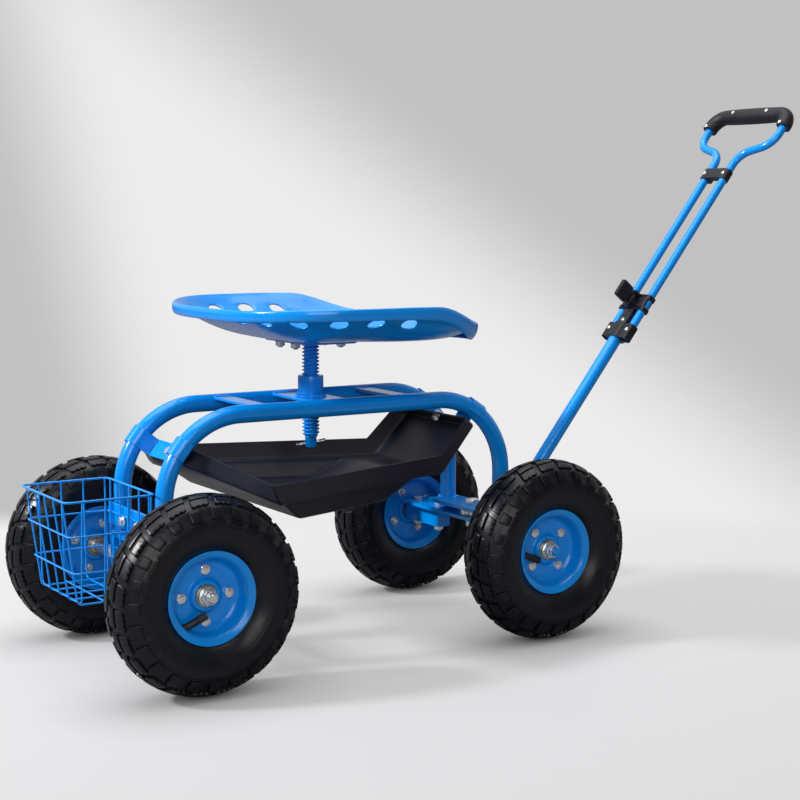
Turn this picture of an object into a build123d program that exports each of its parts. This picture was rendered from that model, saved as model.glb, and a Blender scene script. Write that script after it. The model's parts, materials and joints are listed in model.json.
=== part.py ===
"""Rolling garden seat: a low tube frame on four air-filled wheels, with a steered front axle, a
telescopic pull handle, a screw-adjusted bucket seat, a tool tray and a wire basket.

Millimetres, +X towards the handle, +Z up, ground at Z = 0. The pieces are laid out from the middle
of the wheelbase, and the whole is moved along X at the end so that its box is centred.
"""
from build123d import *
import math
import os

# Where the middle of the wheelbase lies on the part's own X axis.
MID_WHEELBASE_X = -211.5

# Wheels: a 10 inch air tyre on a bolted two-piece steel rim.
WHEELBASE = 530.0
TRACK = 358.0
WHEEL_RADIUS = 127.5
TYRE_WIDTH = 79.0
TYRE_WALL = 5.0
TREAD_WIDTH = 58.0
TREAD_DROP = 9.0
TREAD_THICKNESS = 10.0
TYRE_WIDEST_SHIFT = 2.0
TYRE_BEAD_WIDTH = 10.0
LINING_SHIFT = 4.0
LINING_CORNER = 12.5
RIM_RADIUS = 60.0
RIM_OFFSET = 26.3
RIM_SEAT_RADIUS = 50.8
RIM_SHEET = 2.0
RIM_FLARE_DEPTH = 5.5
RIM_EDGE_ROLL = 1.0
RIM_FOOT_WIDTH = 4.0
RIM_FOOT_HEIGHT = 6.0
HUB_BOSS_BASE_RADIUS = 21.5
HUB_BOSS_TOP_RADIUS = 19.0
BEARING_RADIUS = 14.0
BEARING_WIDTH = 8.0
BEARING_INSET = 0.4
BEARING_RACE = 2.6
BEARING_SHIELD_RECESS = 0.6
RIM_BOLT_CIRCLE = 66.0
RIM_BOLT_COUNT = 4
RIM_BOLT_RADIUS = 4.0
RIM_BOLT_FLATS = 13.0
RIM_BOLT_HEAD = 5.0
RIM_BOLT_NUT = 6.0
VALVE_RADIUS = 4.0
VALVE_CAP_RADIUS = 4.8
VALVE_CAP_FROM = 0.55
VALVE_BASE_RADIUS = 45.0
VALVE_BASE_Z = 9.0
VALVE_TIP_RADIUS = 23.0
VALVE_TIP_Z = 14.0
VALVE_BASE_ANGLE = 232.0
VALVE_TIP_ANGLE = 262.0
WHEEL_TURNS = {"rear_right": 0.0, "front_right": -50.0, "rear_left": 20.0, "front_left": 62.0}

# Axles.
AXLE_RADIUS = 8.0
JOURNAL_RADIUS = 6.0
RUNNING_CLEARANCE = 0.06
END_FLOAT = 0.3
WASHER_RADIUS = 13.0
WASHER_THICKNESS = 2.0
SPACER_RADIUS = 9.0
LOCK_NUT_FLATS = 19.0
LOCK_NUT_HEIGHT = 9.0
LOCK_NUT_COLLAR_RADIUS = 8.6
LOCK_NUT_COLLAR = 5.0
STUD_END = 4.0

# Frame: two bent tubes, feet, cross bars and the seat's sleeve.
TUBE_RADIUS = 12.0
TUBE_WALL = 2.0
RAIL_HALF_SPACING = 68.0
RAIL_HEIGHT = 334.0
RAIL_BEND_RADIUS = 110.0
LEG_OVERHANG = 2.0
FOOT_TOP = 164.0
FOOT_LENGTH = 160.0
BAR_DROP = 3.0
BAR_THICKNESS = 4.0
CROSS_BAR_WIDTH = 25.0
REAR_BAR_X = -120.0
FRONT_BAR_X = 105.5
SEAT_X = -12.0
SEAT_PLATE_WIDTH = 57.0
SLEEVE_RADIUS = 17.8
SLEEVE_TOP = 372.4
SLEEVE_SKIRT = 2.0

# Rear axle bracket and the bar that carries the basket.
REAR_BRACKET_WIDTH = 28.0
REAR_BRACKET_THICKNESS = 6.0
REAR_EAR_BELOW_AXLE = 15.0
BASKET_BAR_HEIGHT = 30.0
BASKET_BAR_THICKNESS = 4.0
BASKET_BAR_Z = 192.0
BASKET_BOLT_SPACING = 50.0
BASKET_BOLT_Z = 188.0

# Steered front axle.
FRONT_PLATE_WIDTH = 50.0
FOOT_PLATE_THICKNESS = 6.0
BEAM_TOP = 148.0
BEAM_THICKNESS = 5.0
BEAM_LENGTH = 320.0
STUB_BAR = 22.0
STUB_BAR_INNER = 76.0
BEAM_BOLT_INNER = 90.0
BEAM_BOLT_OUTER = 150.0
KINGPIN_RADIUS = 6.0
KINGPIN_FLATS = 19.0
KINGPIN_HEAD = 7.5
KINGPIN_NUT = 10.0
KINGPIN_END = 3.0
THRUST_WASHER_RADIUS = 19.0

# Bolts: small ones, and the larger ones of the axle beam and the seat.
BOLT_RADIUS = 3.0
BOLT_FLATS = 10.0
BOLT_HEAD = 4.0
BOLT_NUT = 5.0
BOLT_FLANGE_RADIUS = 7.1
BOLT_FLANGE = 1.2
BOLT_HOLE_CLEARANCE = 0.2
BEAM_BOLT_RADIUS = 4.0
BEAM_BOLT_FLATS = 13.0
BEAM_BOLT_HEAD = 5.3
BEAM_BOLT_NUT = 6.5

# Tray straps: saddles over both rails, dipping between them.
STRAP_THICKNESS = 2.0
STRAP_WIDTH = 26.0
STRAP_DIP = 21.0
STRAP_SKIRT = 6.0
STRAP_CLEARANCE = 0.05
REAR_STRAP_ANGLE = 51.5
FRONT_STRAP_ANGLE = 33.0

# Tool tray: a folded pan with a deeper well.
TRAY_WALL = 2.5
TRAY_CUT_ABOVE_RIM = 6.0
TRAY_RIM_Z = 260.0
TRAY_PAN_DEPTH = 27.0
TRAY_REAR_X = -181.0
TRAY_REAR_HALF = 208.0
TRAY_FRONT_X = 141.0
TRAY_FRONT_HALF = 101.0
TRAY_REAR_END_HALF = 56.0
TRAY_FRONT_END_HALF = 94.0
TRAY_REAR_WALL = 24.0
TRAY_FRONT_WALL = 24.0
TRAY_FRONT_WALL_SHIFT = -8.0
TRAY_DRAFT = 7.0
TRAY_REAR_RAKE = 14.0
TRAY_FRONT_RAKE = 10.0
WELL_FLOOR_Z = 205.0
WELL_REAR_X = -120.0
WELL_FRONT_X = 45.0
WELL_RAMP_REAR = 36.0
WELL_RAMP_FRONT = 57.0
WELL_LEDGE = 8.0
WELL_DRAFT = 8.0

# Wire basket.
BASKET_TOP = 241.0
BASKET_BOTTOM = 104.0
BASKET_DEPTH_TOP = 124.0
BASKET_DEPTH_BOTTOM = 105.0
BASKET_HALF_TOP = 81.0
BASKET_HALF_BOTTOM = 73.0
BASKET_WIRE = 2.4
BASKET_RIM_WIRE = 3.0
BASKET_RING_HEIGHTS = (147.5, 195.0)
BASKET_WIRE_SPACING_Y = 32.0
BASKET_WIRES_Y = 5
BASKET_WIRE_SPACING_X = 31.0
BASKET_WIRES_X = 4

# Pull handle, drawn along its own axis from the yoke pin.
HANDLE_ELEVATION = 51.36
YOKE_PIN_AHEAD = 40.0
YOKE_PIN_Z = 142.0
YOKE_PIN_RADIUS = 4.0
YOKE_PIN_FLATS = 13.0
YOKE_PIN_HEAD = 5.3
YOKE_PIN_NUT = 6.5
YOKE_PLATE_THICKNESS = 4.0
YOKE_PLATE_HEIGHT = 24.0
YOKE_EAR_REACH = 14.0
YOKE_EAR_ROUND = 11.0
HANDLE_TUBE_RADIUS = 10.0
HANDLE_TUBE_WALL = 1.5
HANDLE_TUBE_TAIL = 12.0
YOKE_SIDE_GAP = 0.4
GUIDE_BLOCK_AT = 331.0
GUIDE_BLOCK_LENGTH = 27.0
GUIDE_BLOCK_WIDTH = 58.0
GUIDE_BLOCK_THICKNESS = 16.0
GUIDE_BOSS_WIDTH = 28.0
GUIDE_BOSS_THICKNESS = 24.0
GUIDE_BOSS_CORNER = 9.0
TUBE_CAP = 3.0
GUIDE_SCREW_ALONG = 16.2
TONGUE_WIDTH = 20.0
TONGUE_THICKNESS = 16.0
TONGUE_SCREW_ALONG = 6.0
LOCK_BLOCK_AT = 385.0
LOCK_BLOCK_LENGTH = 30.0
LOCK_LUG_LENGTH = 6.0
LOCK_LUG_HEIGHT = 12.0
LOCK_LUG_WIDTH = 12.0
BLOCK_CORNER = 4.0
LEVER_PIVOT_ABOVE_BLOCK = 6.0
LEVER_PIN_RADIUS = 2.5
LEVER_HUB_RADIUS = 5.0
LEVER_HUB_LENGTH = 16.0
LEVER_PADDLE_WIDTH = 29.0
LEVER_PADDLE_LENGTH = 24.0
LEVER_PADDLE_THICKNESS = 6.0
LEVER_NECK = 9.2
LEVER_RIBS = 6
LEVER_RIB_HEIGHT = 1.0
ROD_RADIUS = 6.5
ROD_WALL = 1.5
ROD_HALF_SPACING = 21.3
ROD_INSET = 3.0
ROD_STRAIGHT_TO = 682.0
ROD_SPREAD_ANGLE = 72.0
ROD_BEND_RADIUS = 30.0
GRIP_HALF_SPAN = 84.0
GRIP_BEND_RADIUS = 24.0
GRIP_RADIUS = 12.2
GRIP_END_LENGTH = 4.0
GRIP_LEG_STRAIGHT = 15.5
GRIP_SCREW_SPACING = 76.0
BRIDGE_AT = 660.0
BRIDGE_LENGTH = 20.0
BRIDGE_WIDTH = 58.0
BRIDGE_THICKNESS = 17.0
BRIDGE_CORNER = 8.0
BRIDGE_HOLLOW_WIDTH = 22.0
BRIDGE_HOLLOW_DEPTH = 7.0
SCREW_RADIUS = 3.4
SCREW_HEAD = 1.6

# Seat, its plate and its screw.
SEAT_HALF_WIDTH = 212.0
SEAT_BACK = 168.0
SEAT_FRONT = 224.0
SEAT_NOTCH = 24.0
SEAT_NOTCH_WIDTH = 55.0
SEAT_SQUARENESS = 0.8
SEAT_FLOOR_Z = 424.0
SEAT_SIDE_Z = 480.0
SEAT_BACK_Z = 474.5
SEAT_BACK_ANGLE = 25.0
SEAT_SIDE_ANGLE = 75.0
SEAT_DROP = 47.0
SEAT_DROP_START = 72.0
SEAT_DROP_POWER = 1.4
SEAT_DISH_POWER = 2.0
SEAT_FLAT_SHARE = 0.25
SEAT_SEATING = 0.1
SEAT_SHEET = 2.0
SEAT_SURFACE_REACH = 1.12
SEAT_SURFACE_POINTS = 25
SEAT_RIM_POINTS = 48
SEAT_LIP_DEPTH = 14.0
SEAT_LIP_WIDTH = 7.0
SEAT_HOLE_SHARE = 0.8
SEAT_HOLE_LENGTH = 25.0
SEAT_HOLE_WIDTH = 17.0
SEAT_HOLE_STEP = 16.2
SEAT_HOLES_PER_SIDE = 8
SEAT_PLATE_LENGTH = 130.0
SEAT_PLATE_DEPTH = 84.0
SEAT_PLATE_THICKNESS = 4.0
SEAT_PLATE_CORNER = 14.0
SEAT_BOLT_SPACING_X = 72.0
SEAT_BOLT_SPACING_Y = 44.0
THREAD_RADIUS = 12.0
THREAD_ROOT = 9.25
THREAD_PITCH = 5.0
THREAD_CREST = 1.83
POST_BOTTOM = 271.0
POST_TIP_RADIUS = 8.0
POST_TIP_LENGTH = 14.0
CLIP_WIRE_RADIUS = 1.2
CLIP_ABOVE_TIP = 6.0
CLIP_REACH = 20.0
CLIP_GAP = 0.2
CLIP_FLARE = 5.0
CLIP_BEND_RADIUS = 4.0
CLIP_ANGLE = -30.0

# Places that follow from the sizes above.
REAR_X = -WHEELBASE / 2
FRONT_X = WHEELBASE / 2
AXLE_Z = WHEEL_RADIUS
LEG_X = WHEELBASE / 2 + LEG_OVERHANG
HUB_FACE = BEARING_INSET + BEARING_WIDTH
RIM_FLARE_Z = RIM_OFFSET - RIM_FLARE_DEPTH
BAR_TOP = RAIL_HEIGHT + TUBE_RADIUS - BAR_DROP
SEAT_PLATE_BOTTOM = SEAT_FLOOR_Z - SEAT_PLATE_THICKNESS - SEAT_SEATING
BASKET_FRONT_X = -LEG_X - TUBE_RADIUS - BASKET_BAR_THICKNESS
YOKE_PIN_X = FRONT_X + FRONT_PLATE_WIDTH / 2 + YOKE_PIN_AHEAD
BOTTOM = (Align.CENTER, Align.CENTER, Align.MIN)


def turned(points):
    """Solid of revolution about Z from a closed outline of (radius, height) points."""
    outline = make_face(Polyline(*[(r, 0, z) for r, z in points], close=True))
    return revolve(outline, axis=Axis.Z)


def ring(outer, inner, height):
    """Plain washer standing on Z = 0."""
    return Cylinder(outer, height, align=BOTTOM) - Cylinder(inner, height, align=BOTTOM)


def hexagon(flats, height):
    """Hexagonal prism standing on Z = 0."""
    return extrude(RegularPolygon(flats / 2, 6, major_radius=False), height)


def swept_tube(path, outer, inner):
    """Tube of round section along a path."""
    section = Plane(origin=path @ 0, z_dir=path % 0) * (Circle(outer) - Circle(inner))
    return sweep(section, path=path)


def bolt_and_nut(radius, flats, head, grip, nut, flange_radius=0.0, flange=0.0):
    """Bolt with its head on Z = 0, shank down -Z through the grip, and its nut below."""
    length = grip + nut + radius / 2
    bolt = Pos(0, 0, -length) * Cylinder(radius, length, align=BOTTOM)
    bolt += Pos(0, 0, flange) * hexagon(flats, head)
    if flange:
        bolt += Cylinder(flange_radius, flange, align=BOTTOM)
    nut_ring = hexagon(flats, nut) - Cylinder(radius, nut, align=BOTTOM)
    return [bolt, Pos(0, 0, -grip - nut) * nut_ring]


def group(solids):
    """Separate solids kept together in one node."""
    return Compound(children=[part for item in solids for part in item.solids()])


# Wheels, built round Z with the outer face up.

def rim_half():
    wall = RIM_SEAT_RADIUS - RIM_SHEET
    half = turned([
        (BEARING_RADIUS, 0), (RIM_SEAT_RADIUS, 0), (RIM_SEAT_RADIUS, RIM_FLARE_Z),
        (RIM_RADIUS, RIM_OFFSET - RIM_SHEET), (RIM_RADIUS, RIM_OFFSET),
        (wall + RIM_EDGE_ROLL, RIM_FLARE_Z + RIM_SHEET), (wall, RIM_FLARE_Z),
        (wall, RIM_FOOT_HEIGHT), (wall - RIM_FOOT_WIDTH, RIM_SHEET),
        (HUB_BOSS_BASE_RADIUS, RIM_SHEET), (HUB_BOSS_TOP_RADIUS, HUB_FACE), (BEARING_RADIUS, HUB_FACE),
    ])
    holes = PolarLocations(RIM_BOLT_CIRCLE / 2, RIM_BOLT_COUNT)
    return half - holes * Cylinder(RIM_BOLT_RADIUS + BOLT_HOLE_CLEARANCE, 4 * RIM_SHEET)


def valve_line():
    """Ends of the valve stem's axis, from the rim wall in towards the hub."""
    base = Vector(VALVE_BASE_RADIUS, 0, VALVE_BASE_Z).rotate(Axis.Z, VALVE_BASE_ANGLE)
    tip = Vector(VALVE_TIP_RADIUS, 0, VALVE_TIP_Z).rotate(Axis.Z, VALVE_TIP_ANGLE)
    return base, tip


def valve_stem():
    base, tip = valve_line()
    run = tip - base
    stem = Plane(origin=base, z_dir=run) * Cylinder(VALVE_RADIUS, run.length, align=BOTTOM)
    cap = Plane(origin=base + run * VALVE_CAP_FROM, z_dir=run)
    stem += cap * Cylinder(VALVE_CAP_RADIUS, run.length * (1 - VALVE_CAP_FROM), align=BOTTOM)
    inlet = Plane(origin=base, z_dir=-run) * Cylinder(VALVE_RADIUS, VALVE_BASE_RADIUS, align=BOTTOM)
    keep = turned([(0, 0), (RIM_SEAT_RADIUS, 0), (RIM_SEAT_RADIUS, RIM_OFFSET), (0, RIM_OFFSET)])
    return stem + (inlet & keep)


def outer_rim():
    base, tip = valve_line()
    hole = Plane(origin=base, z_dir=base - tip) * Cylinder(VALVE_RADIUS, VALVE_BASE_RADIUS, align=BOTTOM)
    return rim_half() - hole


def tyre():
    crown = WHEEL_RADIUS
    shoulder = (crown - TREAD_DROP, TREAD_WIDTH / 2)
    widest = ((crown + RIM_SEAT_RADIUS) / 2 + TYRE_WIDEST_SHIFT, TYRE_WIDTH / 2)
    bead = (RIM_RADIUS, RIM_OFFSET - RIM_SHEET)
    toe = RIM_FLARE_Z - TYRE_BEAD_WIDTH
    inside = TYRE_WIDTH / 2 - TYRE_WALL

    def at(point, side=1):
        return Vector(point[0], 0, side * point[1])

    cover = ThreePointArc(at(shoulder, -1), (crown, 0, 0), at(shoulder))
    side_up = ThreePointArc(at(shoulder), at(widest), at(bead))
    seat_up = Polyline(at(bead), (RIM_SEAT_RADIUS, 0, RIM_FLARE_Z), (RIM_SEAT_RADIUS, 0, toe),
                       (RIM_SEAT_RADIUS + TYRE_WALL, 0, toe))
    lining = ThreePointArc((RIM_SEAT_RADIUS + TYRE_WALL, 0, toe), (widest[0] - LINING_SHIFT, 0, inside),
                           (crown - TREAD_THICKNESS, 0, inside - LINING_CORNER))
    roof = Line(lining @ 1, (crown - TREAD_THICKNESS, 0, -(lining @ 1).Z))
    lower = [mirror(edge, about=Plane.XY) for edge in (lining, seat_up, side_up)]
    outline = make_face(Curve() + [cover, side_up, seat_up, lining, roof] + lower)
    return revolve(outline, axis=Axis.Z)


def bearing_pair():
    shield = BEARING_WIDTH - BEARING_SHIELD_RECESS
    one = turned([
        (JOURNAL_RADIUS, 0), (BEARING_RADIUS, 0), (BEARING_RADIUS, BEARING_WIDTH),
        (BEARING_RADIUS - BEARING_RACE, BEARING_WIDTH), (BEARING_RADIUS - BEARING_RACE, shield),
        (JOURNAL_RADIUS + BEARING_RACE, shield), (JOURNAL_RADIUS + BEARING_RACE, BEARING_WIDTH),
        (JOURNAL_RADIUS, BEARING_WIDTH),
    ])
    upper = Pos(0, 0, BEARING_INSET) * one
    return [upper, mirror(upper, about=Plane.XY)]


def rim_bolts():
    solids = []
    for place in PolarLocations(RIM_BOLT_CIRCLE / 2, RIM_BOLT_COUNT):
        for part in bolt_and_nut(RIM_BOLT_RADIUS, RIM_BOLT_FLATS, RIM_BOLT_HEAD, 2 * RIM_SHEET, RIM_BOLT_NUT):
            solids.append(place * Pos(0, 0, RIM_SHEET) * part)
    return solids


def wheel_place(x, side, turn=0.0):
    """Puts +Z of a wheel on the outward axle line; side is -1 on the right, +1 on the left."""
    return Pos(x, side * TRACK / 2, AXLE_Z) * Rot(-90 * side, 0, 0) * Rot(0, 0, turn)


def wheel_nodes(name, x, side):
    place = wheel_place(x, side, WHEEL_TURNS[name])
    return {
        f"{name}_tyre": place * tyre(),
        f"{name}_outer_rim": place * outer_rim(),
        f"{name}_inner_rim": place * mirror(rim_half(), about=Plane.XY),
        f"{name}_rim_bolts": group([place * part for part in rim_bolts()]),
        f"{name}_bearings": group([place * part for part in bearing_pair()]),
        f"{name}_valve_stem": place * valve_stem(),
    }


def axle_fasteners(x):
    """Inner washer, outer washer and lock nut for the two wheels of an axle."""
    bore = JOURNAL_RADIUS - RUNNING_CLEARANCE
    washer = ring(WASHER_RADIUS, bore, WASHER_THICKNESS)
    spacer = ring(SPACER_RADIUS, bore, WASHER_THICKNESS)
    nut = hexagon(LOCK_NUT_FLATS, LOCK_NUT_HEIGHT)
    nut += Pos(0, 0, LOCK_NUT_HEIGHT) * Cylinder(LOCK_NUT_COLLAR_RADIUS, LOCK_NUT_COLLAR, align=BOTTOM)
    nut -= Cylinder(bore, LOCK_NUT_HEIGHT + LOCK_NUT_COLLAR, align=BOTTOM)
    seat = HUB_FACE + END_FLOAT
    solids = []
    for side in (-1, 1):
        place = wheel_place(x, side)
        solids.append(place * Pos(0, 0, seat) * washer)
        solids.append(place * Pos(0, 0, seat + WASHER_THICKNESS) * nut)
        solids.append(place * Pos(0, 0, -seat - WASHER_THICKNESS) * spacer)
    return group(solids)


def journal():
    """Turned axle end through one wheel, from the shoulder out, along +Z of the wheel."""
    inner = HUB_FACE + END_FLOAT + WASHER_THICKNESS
    outer = inner + LOCK_NUT_HEIGHT + LOCK_NUT_COLLAR + STUD_END
    return Pos(0, 0, -inner) * Cylinder(JOURNAL_RADIUS - RUNNING_CLEARANCE, inner + outer, align=BOTTOM)


def rear_axle_rod():
    half = TRACK / 2 - HUB_FACE - END_FLOAT - WASHER_THICKNESS
    rod = Pos(REAR_X, 0, AXLE_Z) * Rot(90, 0, 0) * Cylinder(AXLE_RADIUS, 2 * half)
    return rod + wheel_place(REAR_X, -1) * journal() + wheel_place(REAR_X, 1) * journal()


# Frame.

def rail_path(side):
    y = side * RAIL_HALF_SPACING
    return FilletPolyline((-LEG_X, y, FOOT_TOP), (-LEG_X, y, RAIL_HEIGHT), (LEG_X, y, RAIL_HEIGHT),
                          (LEG_X, y, FOOT_TOP), radius=RAIL_BEND_RADIUS)


def side_rail(side):
    return swept_tube(rail_path(side), TUBE_RADIUS, TUBE_RADIUS - TUBE_WALL)


def rail_cores():
    """The two rails' straight stretches as full bars, for coping what is welded between them."""
    bar = Rot(0, 90, 0) * Cylinder(TUBE_RADIUS, WHEELBASE)
    return [Pos(0, side * RAIL_HALF_SPACING, RAIL_HEIGHT) * bar for side in (-1, 1)]


def flat_between_rails(x, width):
    bar = Pos(x, 0, BAR_TOP - BAR_THICKNESS / 2) * Box(width, 2 * RAIL_HALF_SPACING, BAR_THICKNESS)
    return bar - rail_cores()


def seat_support_plate():
    hole = Pos(SEAT_X, 0, BAR_TOP - BAR_THICKNESS) * Cylinder(SLEEVE_RADIUS, BAR_THICKNESS, align=BOTTOM)
    return flat_between_rails(SEAT_X, SEAT_PLATE_WIDTH) - hole


def seat_sleeve():
    bottom = BAR_TOP - BAR_THICKNESS - SLEEVE_SKIRT
    return Pos(SEAT_X, 0, bottom) * ring(SLEEVE_RADIUS, THREAD_RADIUS + RUNNING_CLEARANCE, SLEEVE_TOP - bottom)


def rear_axle_bracket():
    top = Pos(REAR_X, 0, FOOT_TOP - REAR_BRACKET_THICKNESS / 2)
    bracket = top * Box(REAR_BRACKET_WIDTH, FOOT_LENGTH, REAR_BRACKET_THICKNESS)
    low = AXLE_Z - REAR_EAR_BELOW_AXLE
    for side in (-1, 1):
        y = side * (FOOT_LENGTH - REAR_BRACKET_THICKNESS) / 2
        ear = Box(REAR_BRACKET_WIDTH, REAR_BRACKET_THICKNESS, FOOT_TOP - low, align=BOTTOM)
        bracket += Pos(REAR_X, y, low) * ear
    return bracket - Pos(REAR_X, 0, AXLE_Z) * Rot(90, 0, 0) * Cylinder(AXLE_RADIUS, 2 * FOOT_LENGTH)


def basket_bolt_places():
    """Bolt heads on the basket's inside of its front wires, shanks forward through the bar."""
    x = BASKET_FRONT_X - BASKET_WIRE
    return [Pos(x, side * BASKET_BOLT_SPACING / 2, BASKET_BOLT_Z) * Rot(0, -90, 0) for side in (-1, 1)]


def basket_mount_bar():
    x = BASKET_FRONT_X + BASKET_BAR_THICKNESS / 2
    bar = Pos(x, 0, BASKET_BAR_Z) * Box(BASKET_BAR_THICKNESS, FOOT_LENGTH, BASKET_BAR_HEIGHT)
    for place in basket_bolt_places():
        bar -= place * Cylinder(BOLT_RADIUS + BOLT_HOLE_CLEARANCE, 4 * BASKET_BAR_THICKNESS)
    return bar


def front_foot_plate():
    plate = Pos(FRONT_X, 0, FOOT_TOP - FOOT_PLATE_THICKNESS / 2)
    plate *= Box(FRONT_PLATE_WIDTH, FOOT_LENGTH, FOOT_PLATE_THICKNESS)
    return plate - Pos(FRONT_X, 0, FOOT_TOP) * Cylinder(KINGPIN_RADIUS, 3 * FOOT_PLATE_THICKNESS)


def kingpin():
    """Bolt, thrust washer above the beam, and washer and nut below it."""
    low = BEAM_TOP - BEAM_THICKNESS - END_FLOAT
    end = low - WASHER_THICKNESS - KINGPIN_NUT - KINGPIN_END
    shank = KINGPIN_RADIUS - RUNNING_CLEARANCE
    bolt = Pos(0, 0, end) * Cylinder(shank, FOOT_TOP - end, align=BOTTOM)
    bolt += Pos(0, 0, FOOT_TOP) * hexagon(KINGPIN_FLATS, KINGPIN_HEAD)
    gap = FOOT_TOP - FOOT_PLATE_THICKNESS - BEAM_TOP - END_FLOAT
    thrust = Pos(0, 0, BEAM_TOP + END_FLOAT) * ring(THRUST_WASHER_RADIUS, shank, gap)
    washer = Pos(0, 0, low - WASHER_THICKNESS) * ring(WASHER_RADIUS, shank, WASHER_THICKNESS)
    nut_ring = hexagon(KINGPIN_FLATS, KINGPIN_NUT) - Cylinder(shank, KINGPIN_NUT, align=BOTTOM)
    nut_ring = Pos(0, 0, low - WASHER_THICKNESS - KINGPIN_NUT) * nut_ring
    return group([Pos(FRONT_X, 0, 0) * part for part in (bolt, thrust, washer, nut_ring)])


# Tray and the straps that hang it from the rails.

def strap_plane(end):
    """Plane on a rail bend, end -1 rear or +1 front: +X across the rails, +Y outwards, +Z along the tube."""
    angle = math.radians(REAR_STRAP_ANGLE if end < 0 else FRONT_STRAP_ANGLE)
    out = Vector(end * math.sin(angle), 0, math.cos(angle))
    centre = Vector(end * (LEG_X - RAIL_BEND_RADIUS), 0, RAIL_HEIGHT - RAIL_BEND_RADIUS)
    along = Vector(0, 1, 0).cross(out)
    return Plane(origin=centre + out * RAIL_BEND_RADIUS, x_dir=(0, 1, 0), z_dir=along)


def strap_bolt_shift(end):
    """How far the bolt lies from the strap's middle on +Z of its plane; in front its flange is at the edge."""
    return 0.0 if end < 0 else strap_sign(end) * (BOLT_FLANGE_RADIUS - STRAP_WIDTH / 2)


def strap_sign(end):
    """+1 where +Z of the strap's plane points down the rail, away from the seat."""
    return 1 if strap_plane(end).z_dir.Z < 0 else -1


def tray_strap(end):
    hole = TUBE_RADIUS + STRAP_CLEARANCE
    outer = hole + STRAP_THICKNESS
    dip = Rectangle(2 * (RAIL_HALF_SPACING - hole), STRAP_THICKNESS)
    section = Pos(0, -STRAP_DIP + STRAP_THICKNESS / 2) * dip
    for side in (-1, 1):
        saddle = Circle(outer) - Pos(0, -outer) * Rectangle(4 * outer, 2 * outer)
        inner_leg = Pos(-side * (hole + STRAP_THICKNESS / 2), -STRAP_DIP / 2)
        outer_leg = Pos(side * (hole + STRAP_THICKNESS / 2), -STRAP_SKIRT / 2)
        saddle += inner_leg * Rectangle(STRAP_THICKNESS, STRAP_DIP)
        saddle += outer_leg * Rectangle(STRAP_THICKNESS, STRAP_SKIRT)
        section += Pos(side * RAIL_HALF_SPACING, 0) * (saddle - Circle(hole))
    strap = extrude(strap_plane(end) * section, STRAP_WIDTH / 2, both=True)
    place = tray_bolt_place(end)
    return strap - place * Cylinder(BOLT_RADIUS + BOLT_HOLE_CLEARANCE, 8 * STRAP_THICKNESS)


def tray_bolt_place(end):
    """Bolt head on the strap's dip, shank inwards through the tray's end wall."""
    plane = strap_plane(end)
    out = plane.y_dir
    at = plane.origin - out * (STRAP_DIP - STRAP_THICKNESS) + plane.z_dir * strap_bolt_shift(end)
    return Plane(origin=at, x_dir=(0, 1, 0), z_dir=out).location


def tray_sections(inset, over):
    """Cross-sections of the pan from the rear end to the front end, as four points each."""
    def end_wall(end, wall, shift):
        plane = strap_plane(end)
        down = plane.z_dir * strap_sign(end)
        at = plane.origin - plane.y_dir * STRAP_DIP
        return at + down * (shift - wall / 2), at + down * (shift + wall / 2)

    rear_top, rear_low = end_wall(-1, TRAY_REAR_WALL, 0)
    front_top, front_low = end_wall(1, TRAY_FRONT_WALL, TRAY_FRONT_WALL_SHIFT)
    low = TRAY_RIM_Z - TRAY_PAN_DEPTH
    rows = [
        (rear_top, rear_low, TRAY_REAR_END_HALF),
        (Vector(TRAY_REAR_X, 0, TRAY_RIM_Z), Vector(TRAY_REAR_X + TRAY_REAR_RAKE, 0, low), TRAY_REAR_HALF),
        (Vector(TRAY_FRONT_X, 0, TRAY_RIM_Z), Vector(TRAY_FRONT_X + TRAY_FRONT_RAKE, 0, low), TRAY_FRONT_HALF),
        (front_top, front_low, TRAY_FRONT_END_HALF),
    ]
    sections = []
    for index, (top, bottom, half) in enumerate(rows):
        if inset and index in (0, len(rows) - 1):
            inner = rows[1 if index == 0 else -2]
            step = (inner[0] - top).normalized() * inset
            top, bottom = top + step, bottom + step
        wall = top - bottom
        bottom = bottom + wall.normalized() * inset
        top = top + wall.normalized() * over
        draft = TRAY_DRAFT * (wall.length - inset) / wall.length
        wide, narrow = half - inset + over * TRAY_DRAFT / wall.length, half - inset - draft
        corners = [(top, wide), (bottom, narrow), (bottom, -narrow), (top, -wide)]
        sections.append(make_face(Polyline(*[(p.X, y, p.Z) for p, y in corners], close=True)))
    return sections


def tray_half_width(x):
    share = (x - TRAY_REAR_X) / (TRAY_FRONT_X - TRAY_REAR_X)
    return TRAY_REAR_HALF + share * (TRAY_FRONT_HALF - TRAY_REAR_HALF) - TRAY_DRAFT


def tray_well(inset, over):
    def outline(rear, front, rear_half, front_half, z):
        corners = [(rear, rear_half), (front, front_half), (front, -front_half), (rear, -rear_half)]
        return make_face(Polyline(*[(x, y, z) for x, y in corners], close=True))

    top_z = TRAY_RIM_Z - TRAY_PAN_DEPTH
    rear_top, front_top = WELL_REAR_X - WELL_RAMP_REAR, WELL_FRONT_X + WELL_RAMP_FRONT
    ledge = WELL_LEDGE + inset
    low = outline(WELL_REAR_X + inset, WELL_FRONT_X - inset, tray_half_width(WELL_REAR_X) - ledge - WELL_DRAFT,
                  tray_half_width(WELL_FRONT_X) - ledge - WELL_DRAFT, WELL_FLOOR_Z + inset)
    high = outline(rear_top + inset, front_top - inset, tray_half_width(rear_top) - ledge,
                   tray_half_width(front_top) - ledge, top_z)
    well = loft([low, high], ruled=True)
    return well + extrude(high, over, dir=(0, 0, 1)) if over else well


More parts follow.
